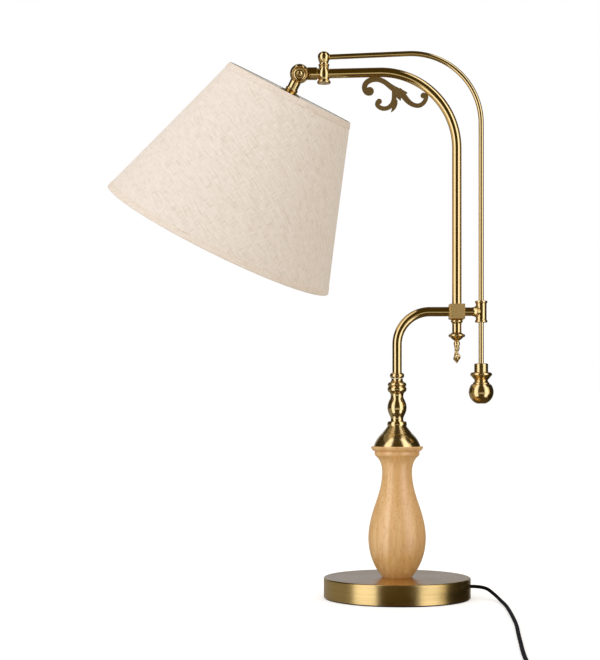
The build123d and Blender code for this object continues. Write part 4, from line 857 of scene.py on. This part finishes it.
@dataclass
class Shade:
    """The tapered cloth shade with its hems, in the head's frame."""

    top_at: float = 0.024
    height: float = 0.19
    top_radius: float = 0.078
    bottom_radius: float = 0.1445
    wall: float = 0.001
    sag: float = 0.0004
    hem_width: float = 0.0075
    hem_thickness: float = 0.00035
    hem_bevel: float = 0.0008
    hem_fold: float = 0.0012
    seam_width: float = 0.009
    seam_rise: float = 0.0004
    seam_slope: float = 0.0012
    segments: int = 288
    rows: int = 24

    @property
    def slant(self) -> float:
        """Length of the cloth from edge to edge."""
        return math.hypot(self.height, self.bottom_radius - self.top_radius)

    @property
    def thickness(self) -> float:
        """Thickness of the cloth measured straight out from the shade's axis."""
        return self.wall * self.slant / self.height

    @property
    def cut_angle(self) -> float:
        """Angle of the flat ring sector that the cloth is cut as."""
        return 2 * math.pi * (self.bottom_radius - self.top_radius) / self.slant

    @property
    def cut_inner(self) -> float:
        """Inner radius of the flat ring sector."""
        return self.top_radius * self.slant / (self.bottom_radius - self.top_radius)

    def radius_at(self, down: float) -> float:
        """Outer radius at a share of the way down."""
        return self.top_radius + (self.bottom_radius - self.top_radius) * down

    def seam_step(self, turn: float) -> float:
        """How far the lapped seam at the back stands proud at an angle."""
        arc = (math.pi - abs(turn)) * self.radius_at(0.5)
        return self.seam_rise * eased((self.seam_width / 2 - arc) / self.seam_slope)

    def place(self, radius: float, turn: float, drop: float) -> Vector:
        """A point of the shade in the lamp's frame.

        Args:
            radius: its distance from the shade's axis.
            turn: its angle from the front of the shade.
            drop: how far it lies below the top edge.

        Returns:
            The point.
        """
        direction = turn - QUARTER_TURN
        across, along = radius * math.cos(direction), radius * math.sin(direction)
        return head_matrix() @ Vector((across, along, -(self.top_at + drop)))

    def rings(self, profile: Profile, name: str) -> Mesh:
        """Turns a closed profile round the shade's axis.

        Args:
            profile: points of radius, drop and how much of the seam's step each has.
            name: the mesh's name.

        Returns:
            The mesh, with the flat cut's coordinates in its UV map named cut.
        """
        work = bmesh.new()
        cut = work.loops.layers.uv.new("cut")
        step = 2 * math.pi / self.segments
        grid = []
        for column in range(self.segments):
            turn = -math.pi + column * step
            rise = self.seam_step(turn)
            places = [self.place(radius + share * rise, turn, drop) for radius, drop, share in profile]
            grid.append([work.verts.new(place) for place in places])
        stretch = self.slant / self.height
        count = len(profile)
        for column in range(self.segments):
            for row in range(count):
                below = (row + 1) % count
                corners = ((column, row), (column, below), (column + 1, below), (column + 1, row))
                face = work.faces.new([grid[at % self.segments][line] for at, line in corners])
                face.smooth = True
                for loop, (at, line) in zip(face.loops, corners):
                    angle = (-math.pi + at * step) * self.cut_angle / (2 * math.pi)
                    reach = self.cut_inner + profile[line][1] * stretch
                    loop[cut].uv = (reach * math.sin(angle), -reach * math.cos(angle))
        return outward_mesh(work, bpy.data.meshes.new(name))

    def cloth_profile(self) -> Profile:
        """The cloth's section.

        Returns:
            Its points, outside down from the top edge, then inside back up.
        """
        outside, inside = [], []
        for row in range(self.rows + 1):
            down = row / self.rows
            radius = self.radius_at(down) - self.sag * math.sin(math.pi * down)
            outside.append((radius, down * self.height, 1.0))
            inside.append((radius - self.thickness, down * self.height, 0.0))
        return outside + inside[::-1]

    def hem_profile(self, at_top: bool) -> Profile:
        """The section of the tape folded round one edge.

        Args:
            at_top: whether the edge is the top one.

        Returns:
            Its points, outside towards the edge, over it, and inside back.
        """
        proud, thick = self.hem_thickness, self.thickness
        halfway, crest, lap = 0.5, 0.7, 0.25
        edge, away = (0.0, 1.0) if at_top else (1.0, -1.0)
        far = edge + away * self.hem_width / self.slant
        over = -away * proud / self.height
        outer = [
            (far, 0.0),
            (far - away * self.hem_bevel / self.slant, proud),
            (edge + away * self.hem_fold / self.slant, proud),
            (edge + over * halfway, proud * crest),
            (edge + over, -thick * lap),
        ]
        inner = [(down, -thick - out) for down, out in reversed(outer)]
        return [
            (self.radius_at(down) + out, down * self.height, 1.0 if out > -thick / 2 else 0.0)
            for down, out in outer + inner
        ]

    def build(self, effects: Effects) -> list[Object]:
        """Args:
            effects: the shared node groups.

        Returns:
            The cloth, the top hem and the bottom hem.
        """
        linen, tape, liner, painted_shade_tape = (
            finish.build(effects)
            for finish in (
                Linen("cream_linen"),
                Linen(
                    "hem_tape", pale=srgb(238, 225, 210), warm=srgb(226, 209, 190), slub_share=0.3, turn=0.0
                ),
                Grained("shade_liner", srgb(186, 182, 176), srgb(178, 174, 167), 0.5, 0.0, 700.0, 0.04),
                # Near-black tape for the top hem's inside: painted shade, standing in for the shadow inside
                # the shade's top edge.
                Grained("hem_painted_shade", srgb(46, 42, 38), srgb(58, 53, 48), 0.8, 0.0, 1600.0, 0.2),
            )
        )
        centre = head_matrix() @ Vector((0, 0, -self.top_at))
        axis = (head_matrix().to_3x3() @ Vector((0, 0, 1))).normalized()
        pieces = []
        for name, profile, outer, inner in (
            ("shade_linen", self.cloth_profile(), linen, liner),
            ("shade_hem_top", self.hem_profile(True), tape, painted_shade_tape),
            ("shade_hem_bottom", self.hem_profile(False), tape, tape),
        ):
            piece = new_object(name, self.rings(profile, name))
            piece.data.materials.append(outer)
            piece.data.materials.append(inner)
            # Faces turned towards the axis take the second material: the liner, the painted shade of the top
            # hem's inside, and plain tape on the bottom hem.
            for face in piece.data.polygons:
                arm = face.center - centre
                if face.normal.dot(arm - axis * arm.dot(axis)) < 0:
                    face.material_index = 1
            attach(piece, Body.HEAD.value)
            pieces.append(piece)
        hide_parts("shade_cloth")
        return pieces


# Finial


@dataclass
class TwistedDrop:
    """The twisted drop under the cross block.

    Its marks are shares of the way down with the plain radius there: a bead, a cup, a waist, a swell
    and a point.
    """

    top: float = 0.2983
    length: float = 0.026
    ridge: float = 0.00055
    ridge_start: tuple[float, float] = (0.27, 0.06)
    ridge_end: float = 0.15
    strands: int = 3
    twist: float = 230.0
    segments: int = 60
    rows: int = 72
    marks: tuple[tuple[float, float], ...] = (
        (0.0, 0.0022), (0.05, 0.0034), (0.12, 0.0037), (0.2, 0.0034), (0.25, 0.0027), (0.28, 0.0032),
        (0.36, 0.0027), (0.46, 0.0019), (0.54, 0.0021), (0.66, 0.0035), (0.74, 0.004), (0.82, 0.0035),
        (0.92, 0.0017), (1.0, 0.0),
    )

    def radius_at(self, down: float) -> float:
        """Plain radius at a share of the way down.

        Args:
            down: the share.

        Returns:
            The radius.
        """
        for (high, wide), (low, narrow) in zip(self.marks, self.marks[1:]):
            if down <= low:
                return wide + (narrow - wide) * eased((down - high) / (low - high))
        return 0.0

    def ridge_at(self, down: float) -> float:
        """How far the strands stand out at a share of the way down."""
        start, rise = self.ridge_start
        return self.ridge * min(max((down - start) / rise, 0.0), 1.0) * min((1 - down) / self.ridge_end, 1.0)

    def build(self, material: Material) -> Object:
        """Makes the drop.

        Args:
            material: its material.

        Returns:
            The drop's object.
        """
        centre_x = UPRIGHT_X[Axis.BLOCK]
        points: list[Point] = []
        for row in range(self.rows + 1):
            down = row / self.rows
            plain, ridge = self.radius_at(down), self.ridge_at(down)
            for column in range(self.segments):
                turn = 2 * math.pi * column / self.segments
                wave = math.cos(self.strands * (turn - self.twist * down * self.length))
                radius = max(plain + ridge * wave, 0.0)
                across, along = radius * math.cos(turn), radius * math.sin(turn)
                points.append((centre_x + across, along, self.top - down * self.length))
        faces: list[tuple[int, ...]] = []
        for row in range(self.rows):
            high, low = row * self.segments, (row + 1) * self.segments
            for column in range(self.segments):
                following = (column + 1) % self.segments
                faces.append((high + column, low + column, low + following, high + following))
        faces.append(tuple(range(self.segments)))
        drop = new_object("finial_twist", smooth_mesh("finial_twist", points, faces))
        drop.data.materials.append(material)
        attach(drop, Body.ARM.value)
        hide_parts("finial_drop")
        return drop


# Repeated details


class Layout(Enum):
    """How repeated ribs are laid out."""

    RING = "ring"
    ROW = "row"


@dataclass(frozen=True)
class Ribs:
    """Beads or ribs in a ring about Z or a row along Y, sunk into the piece that carries them.

    Its reach is the ring's radius, or the step from one rib of the row to the next.
    """

    name: str
    layout: Layout
    place: Matrix
    count: int
    reach: float
    size: Point
    body: Body
    slot: str

    def tree(self) -> NodeTree:
        """Builds the node tree that sets the ribs out.

        Returns:
            The tree, with Count, Reach, Size and Material as its inputs.
        """
        tree = bpy.data.node_groups.new(self.name, "GeometryNodeTree")
        kinds = {"Geometry": "Geometry", "Count": "Int", "Reach": "Float", "Size": "Vector"}
        for label, kind in {**kinds, "Material": "Material"}.items():
            tree.interface.new_socket(label, in_out="INPUT", socket_type="NodeSocket" + kind)
        tree.interface.new_socket("Geometry", in_out="OUTPUT", socket_type="NodeSocketGeometry")
        graph = Graph(tree)
        given = graph.add("NodeGroupInput").outputs
        if self.layout is Layout.RING:
            line = graph.add("GeometryNodeMeshCircle", {"Vertices": given["Count"], "Radius": given["Reach"]})
            place = graph.add("GeometryNodeInputPosition").outputs[0]
            rotation = graph.add("FunctionNodeAlignRotationToVector", {"Vector": place}, axis="X").outputs[0]
        else:
            step = graph.add("ShaderNodeCombineXYZ", {1: given["Reach"]}).outputs[0]
            line = graph.add("GeometryNodeMeshLine", {"Count": given["Count"], "Offset": step})
            rotation = (0.0, 0.0, 0.0)
        ball = graph.add("GeometryNodeMeshIcoSphere", {"Radius": 1.0, "Subdivisions": 4})
        sown = {"Points": line.outputs["Mesh"], "Instance": ball.outputs["Mesh"]}
        made = graph.add(
            "GeometryNodeInstanceOnPoints", {**sown, "Rotation": rotation, "Scale": given["Size"]}
        )
        for kind, inputs in (
            ("GeometryNodeSetShadeSmooth", {}),
            ("GeometryNodeRealizeInstances", {}),
            ("GeometryNodeSetMaterial", {"Material": given["Material"]}),
            ("NodeGroupOutput", {}),
        ):
            made = graph.add(kind, {"Geometry": made.outputs[0], **inputs})
        return tree

    def build(self, material: Material) -> Object:
        """Makes the ribs.

        Args:
            material: the ribs' material.

        Returns:
            The ribs' object.
        """
        values = {"Count": self.count, "Reach": self.reach, "Size": self.size, "Material": material}
        mesh = grown_mesh(self.name, self.tree(), values)
        mesh.transform(self.place)
        made = new_object(self.name, mesh)
        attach(made, self.body.value)
        return made


def repeated_details(cord: MainsCord) -> tuple[Ribs, ...]:
    """The ribs and beads of the finial, the shade's nut, the switch and the plug.

    Args:
        cord: the cord that carries the switch and the plug.

    Returns:
        The details, each with its place.
    """
    bead_height, nut_drop, rocker_tilt, plug_step = 0.3043, -0.05475, math.radians(-7), 0.004
    block = axis_matrix(Axis.BLOCK) @ Matrix.Translation((0.0, 0.0, bead_height))
    nut = axis_matrix(Axis.HEAD) @ Matrix.Translation((0.0, 0.0, nut_drop))
    rocker = Matrix.Translation((0.078, -0.575, 0.0135)) @ Matrix.Rotation(rocker_tilt, 4, "X")
    front = rocker @ Matrix.Translation((0.0, -0.0074, 0.00445))
    back = rocker @ Matrix.Translation((0.0, 0.0042, 0.0039))
    end_x, _, end_height = cord.coil_points()[-1]
    plug = Matrix.Translation((end_x, cord.plug_face_y + plug_step, end_height))
    bar, gloss, black = (0.0038, 0.0004, 0.0004), "polished_brass", "black_plastic"
    return (
        Ribs("finial_beads", Layout.RING, block, 22, 0.0086, (0.0011, 0.0009, 0.0016), Body.ARM, gloss),
        Ribs("nut_grips", Layout.RING, nut, 36, 0.0214, (0.0009, 0.0009, 0.0028), Body.HEAD, black),
        Ribs("rocker_ribs_front", Layout.ROW, front, 3, 0.0016, bar, Body.ROCKER, black),
        Ribs("rocker_ribs_back", Layout.ROW, back, 3, 0.0016, bar, Body.ROCKER, black),
        Ribs("plug_ribs", Layout.ROW, plug, 5, 0.004, (0.0047, 0.0009, 0.0047), Body.STAND, black),
    )


# Studio


CARD_FOOT = -1.2
CARD_TOP = 3.7
WINDOW_BLUE: Colour = (1.0, 1.07, 1.4, 1.0)
CEILING_BLUE: Colour = (1.0, 1.0, 1.1, 1.0)


@dataclass(frozen=True)
class Card:
    """A card that only reflections see: upright, or flat and so deep where its two heights are the same.

    Its azimuth is in degrees to the right of the camera's side, seen from the lamp.
    """

    name: str
    azimuth: float
    width: float
    low: float
    high: float
    distance: float
    radiance: float
    colour: Colour = (1.0, 0.985, 0.96, 1.0)
    depth: float = 9.0

    def corners(self) -> list[Point]:
        """The card's four corners.

        Returns:
            The corners, in order round the card.
        """
        turn = math.radians(self.azimuth)
        outward = Vector((math.sin(turn), -math.cos(turn), 0.0))
        across = Vector((math.cos(turn), math.sin(turn), 0.0)) * (self.width / 2)
        back = -outward * (self.depth / 2 if self.low == self.high else 0.0)
        centre = outward * self.distance
        near, far = centre - back, centre + back
        places = (near - across, near + across, far + across, far - across)
        heights = (self.low, self.low, self.high, self.high)
        return [(place.x, place.y, height) for place, height in zip(places, heights)]


@dataclass
class Studio:
    """Floor, soft lights, cards that the metal reflects, and the camera."""

    camera_place: Point = (-0.1126, -1.74, 0.217)
    view_rise: float = 0.1227
    lens: float = 81.8
    sensor_width: float = 36.0
    view_reach: tuple[float, float] = (0.01, 60.0)
    soft_level: float = 0.92
    soft_colour: Colour = (1.0, 0.955, 0.89, 1.0)
    floor_reach: float = 12.0
    floor_colour: Colour = (0.8, 0.8, 0.8, 1.0)
    floor_lift: float = 0.42
    key_power: float = 17.0
    key_colour: tuple[float, float, float] = (0.85, 0.96, 1.18)
    key_size: float = 1.6
    key_place: Point = (-1.9, -1.9, 1.2)
    key_aim: Point = (-0.1, 0.0, 0.4)
    least_sampled: float = 0.9
    cards: tuple[Card, ...] = (
        Card("left_softbox", -53.0, 1.07, CARD_FOOT, 3.6, 1.6, 1.44, WINDOW_BLUE),
        Card("right_softbox", 47.3, 0.94, CARD_FOOT, 3.6, 1.6, 1.6, WINDOW_BLUE),
        Card("front_flag", -1.0, 3.0, CARD_FOOT, CARD_TOP, 2.2, 0.06, (1.0, 0.7, 0.1, 1.0)),
        Card("table_front", 2.6, 1.4, -0.01, -0.01, 10.75, 0.62, depth=20.0),
        Card("left_top", -90.0, 3.0, 3.65, 3.65, 1.6, 0.95, CEILING_BLUE, 1.2),
        Card("right_top", 90.0, 3.0, 3.65, 3.65, 1.6, 0.95, CEILING_BLUE, 1.2),
        Card("right_flag", 112.0, 2.5, CARD_FOOT, CARD_TOP, 1.7, 0.03, (1.0, 0.85, 0.5, 1.0)),
        Card("left_low", -110.0, 2.5, CARD_FOOT, 0.06, 1.7, 0.27),
        Card("left_flag", -110.0, 2.5, 0.06, CARD_TOP, 1.7, 0.05, (1.0, 0.8, 0.45, 1.0)),
        Card("back_low", 180.0, 7.0, CARD_FOOT, 0.28, 2.4, 0.3),
        Card("back_middle", 180.0, 7.0, 0.28, 1.3, 2.4, 0.5, (0.86, 0.94, 1.2, 1.0)),
        Card("back_high", 180.0, 7.0, 1.3, CARD_TOP, 2.4, 0.16),
        Card("high_flag", 0.0, 9.0, CARD_TOP, CARD_TOP, 0.0, 0.05, (1.0, 0.7, 0.3, 1.0)),
        Card("under_flag", 0.0, 9.0, CARD_FOOT, CARD_FOOT, 0.0, 0.08, (1.0, 0.75, 0.4, 1.0)),
    )

    def camera(self) -> None:
        """Puts the camera at the photograph's angle."""
        data = bpy.data.cameras.new("camera")
        data.lens = self.lens
        data.sensor_width = self.sensor_width
        data.shift_y = self.view_rise
        data.clip_start, data.clip_end = self.view_reach
        camera = bpy.data.objects.new("camera", data)
        camera.location = self.camera_place
        camera.rotation_euler = (QUARTER_TURN, 0.0, 0.0)
        bpy.context.collection.objects.link(camera)
        bpy.context.scene.camera = camera

    def world(self) -> None:
        """White to the camera, gloss and glass, and a plain soft light to everything else."""
        world = bpy.data.worlds.new("studio")
        world.use_nodes = True
        world.cycles.sampling_method = "NONE"
        bpy.context.scene.world = world
        graph = Graph(world.node_tree)
        world.node_tree.nodes.clear()
        path = graph.add("ShaderNodeLightPath").outputs
        seen = graph.maths("ADD", path["Is Camera Ray"], path["Is Glossy Ray"])
        seen = graph.maths("ADD", seen, path["Is Transmission Ray"], clamp=True)
        white = graph.add("ShaderNodeBackground", {"Color": WHITE, "Strength": 1.0})
        soft = graph.add("ShaderNodeBackground", {"Color": self.soft_colour, "Strength": self.soft_level})
        mix = graph.add("ShaderNodeMixShader", {0: seen, 1: soft.outputs[0], 2: white.outputs[0]})
        graph.add("ShaderNodeOutputWorld", {"Surface": mix.outputs[0]})

    def floor(self) -> None:
        """Lays a wide pale floor that shows white and keeps a faint shadow of the lamp."""
        work = bmesh.new()
        bmesh.ops.create_grid(work, x_segments=8, y_segments=8, size=self.floor_reach)
        mesh = bpy.data.meshes.new("floor")
        work.to_mesh(mesh)
        work.free()
        floor = new_object("floor", mesh)
        material, graph, surface = blank_material("pale_floor")
        seen = graph.add("ShaderNodeLightPath").outputs["Is Camera Ray"]
        plain = graph.add("ShaderNodeBsdfDiffuse", {"Color": self.floor_colour})
        lift = graph.times(seen, self.floor_lift)
        glow = graph.add("ShaderNodeEmission", {"Color": WHITE, "Strength": lift})
        both = graph.add("ShaderNodeAddShader", {0: plain.outputs[0], 1: glow.outputs[0]})
        graph.feed(surface, both.outputs[0])
        material.cycles.emission_sampling = "NONE"
        mesh.materials.append(material)
        floor.visible_glossy = False

    def stand(self, card: Card) -> None:
        """Sets up one card that the camera doesn't see.

        Args:
            card: the card.
        """
        mesh = bpy.data.meshes.new(card.name)
        mesh.from_pydata(card.corners(), [], [(0, 1, 2, 3)])
        stood = new_object(card.name, mesh)
        material, graph, surface = blank_material(card.name)
        glow = graph.add("ShaderNodeEmission", {"Color": card.colour, "Strength": card.radiance})
        graph.feed(surface, glow.outputs[0])
        if card.radiance < self.least_sampled:
            material.cycles.emission_sampling = "NONE"
        mesh.materials.append(material)
        stood.visible_camera = False
        stood.visible_shadow = False
        stood.visible_diffuse = False

    def key(self) -> None:
        """Hangs a large soft light at the left that only matt surfaces see."""
        data = bpy.data.lights.new("key", "AREA")
        data.shape = "RECTANGLE"
        data.size = self.key_size
        data.size_y = self.key_size
        data.energy = self.key_power
        data.color = self.key_colour
        key = bpy.data.objects.new("key", data)
        key.location = self.key_place
        aim = Vector(self.key_aim) - Vector(self.key_place)
        key.rotation_euler = aim.to_track_quat("-Z", "Y").to_euler()
        key.visible_glossy = False
        bpy.context.collection.objects.link(key)

    def build(self) -> None:
        """Builds the whole studio."""
        self.camera()
        self.world()
        self.floor()
        self.key()
        for card in self.cards:
            self.stand(card)
        bpy.context.scene.view_settings.view_transform = "Standard"


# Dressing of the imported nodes


@dataclass
class Dresser:
    """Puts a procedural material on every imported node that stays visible."""

    nodes: dict[str, Object]
    effects: Effects
    brass: tuple[tuple[BrassKind, Axis | None, tuple[str, ...]], ...] = (
        (BrassKind.BRUSHED, Axis.STEM, ("base_shell",)),
        (BrassKind.SOFT, Axis.STEM, ("bell_cap",)),
        (BrassKind.TURNED, Axis.STEM, ("stem_vase", "stem_crown")),
        (BrassKind.POLISHED, Axis.STEM, ("swivel_ring",)),
        (BrassKind.SATIN, Axis.STEM, ("swivel_spindle",)),
        (BrassKind.SATIN, None, ("gooseneck_tube", "main_arm_tube", "balance_rod")),
        (BrassKind.LINISHED, None, ("cross_block",)),
        (BrassKind.SATIN, Axis.ROD, ("guide_collar",)),
        (BrassKind.SOFT, Axis.ROD, ("counterweight",)),
        (BrassKind.POLISHED, Axis.BLOCK, ("finial_cup",)),
        (BrassKind.POLISHED, Axis.FITTING, ("arm_end_fitting",)),
        (BrassKind.DULLED, None, ("scroll_bracket",)),
        (BrassKind.SATIN, Axis.ROLL, ("roll_collar", "roll_spindle")),
        (BrassKind.SATIN, Axis.KNUCKLE, ("knuckle_arm_half", "knuckle_head_half")),
        (BrassKind.POLISHED, Axis.KNUCKLE, ("knuckle_screw",)),
        (BrassKind.SATIN, Axis.HEAD, ("holder_cup",)),
    )
    plain: tuple[tuple[Wood | OpalGlass | Grained, tuple[str, ...]], ...] = (
        (Wood("turned_wood"), ("wood_body",)),
        (OpalGlass("opal_glass"), ("bulb_glass",)),
        (Grained("felt_pad", srgb(22, 24, 22), srgb(34, 36, 33), 0.95, 0.0, 900.0, 0.6, 0.3), ("base_pad",)),
        (Grained("cast_iron", srgb(66, 64, 62), srgb(84, 81, 78), 0.6, 0.7, 700.0, 0.5), ("base_weight",)),
        (
            Grained("zinc_steel", srgb(176, 178, 180), srgb(150, 152, 156), 0.32, 1.0, 1800.0, 0.05),
            (
                "base_cover", "threaded_rod", "rod_washer", "rod_nut", "swivel_spring_washer", "swivel_nut",
                "roll_nut", "knuckle_nut", "holder_nipple", "holder_nut", "switch_screws",
            ),
        ),
        (
            Grained("black_rubber", srgb(26, 26, 27), srgb(34, 34, 35), 0.6, 0.0, 1500.0, 0.2),
            ("cord_grommet",),
        ),
        (
            BLACK_PLASTIC,
            ("switch_base", "switch_cover", "switch_rocker", "plug_body", "lamp_holder", "shade_ring_nut"),
        ),
        (
            Grained("nylon", srgb(226, 222, 210), srgb(214, 209, 196), 0.45, 0.0, 1600.0, 0.08),
            ("swivel_washer", "friction_disc"),
        ),
        (
            Grained("nickel_brass", srgb(196, 192, 182), srgb(176, 170, 158), 0.24, 1.0, 1800.0, 0.04),
            ("plug_pins", "centre_contact", "screw_liner"),
        ),
        (
            Grained("white_enamel_wire", srgb(232, 230, 224), srgb(222, 219, 212), 0.36, 0.0, 900.0, 0.08),
            ("shade_spider", "shade_bottom_ring"),
        ),
        (
            Grained("bulb_aluminium", srgb(190, 190, 190), srgb(170, 170, 172), 0.3, 1.0, 1500.0, 0.05),
            ("bulb_cap",),
        ),
        (
            Grained("black_cord_inner", srgb(20, 20, 20), srgb(26, 26, 26), 0.5, 0.0, 2600.0, 0.15),
            ("base_wire",),
        ),
    )

    def dress(self, nodes: tuple[str, ...], material: Material) -> None:
        """Gives every material slot of some nodes one material.

        Args:
            nodes: the nodes' names.
            material: the material.
        """
        for node in nodes:
            for slot in self.nodes[node].material_slots:
                slot.link = "OBJECT"
                slot.material = material

    def build(self) -> None:
        """Dresses all the nodes."""
        for kind, axis, nodes in self.brass:
            self.dress(nodes, kind.value.build(self.effects, axis))
        for finish, nodes in self.plain:
            self.dress(nodes, finish.build(self.effects))


def main() -> None:
    """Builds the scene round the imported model."""
    logging.basicConfig(level=logging.INFO, format="%(name)s: %(message)s")
    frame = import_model()
    effects = Effects()
    Studio().build()
    LOG.info("studio: camera, floor and lights")
    Dresser(frame["nodes"], effects).build()
    LOG.info("dressed the packed nodes")
    pieces = Shade().build(effects)
    polished = replace(BrassKind.POLISHED.value, name="polished_brass_drop").build(effects)
    pieces.append(TwistedDrop().build(polished))
    plastic = replace(BLACK_PLASTIC, name="ribbed_plastic").build(effects)
    cord = MainsCord()
    details = repeated_details(cord)
    pieces += [ribs.build(polished if ribs.slot == "polished_brass" else plastic) for ribs in details]
    for piece in pieces:
        LOG.info("%s: %d faces", piece.name, len(piece.data.polygons))
    on_cord = [bpy.data.objects[name] for name in ("rocker_ribs_front", "rocker_ribs_back", "plug_ribs")]
    black = Grained("black_cord", srgb(8, 8, 9), srgb(14, 14, 15), 0.6, 0.0, 2600.0, 0.12, shine=0.08)
    lead = cord.build(black.build(effects), on_cord)
    LOG.info("%s: %d control points", lead.name, len(lead.data.splines[0].points))


if __name__ == "__main__":
    main()
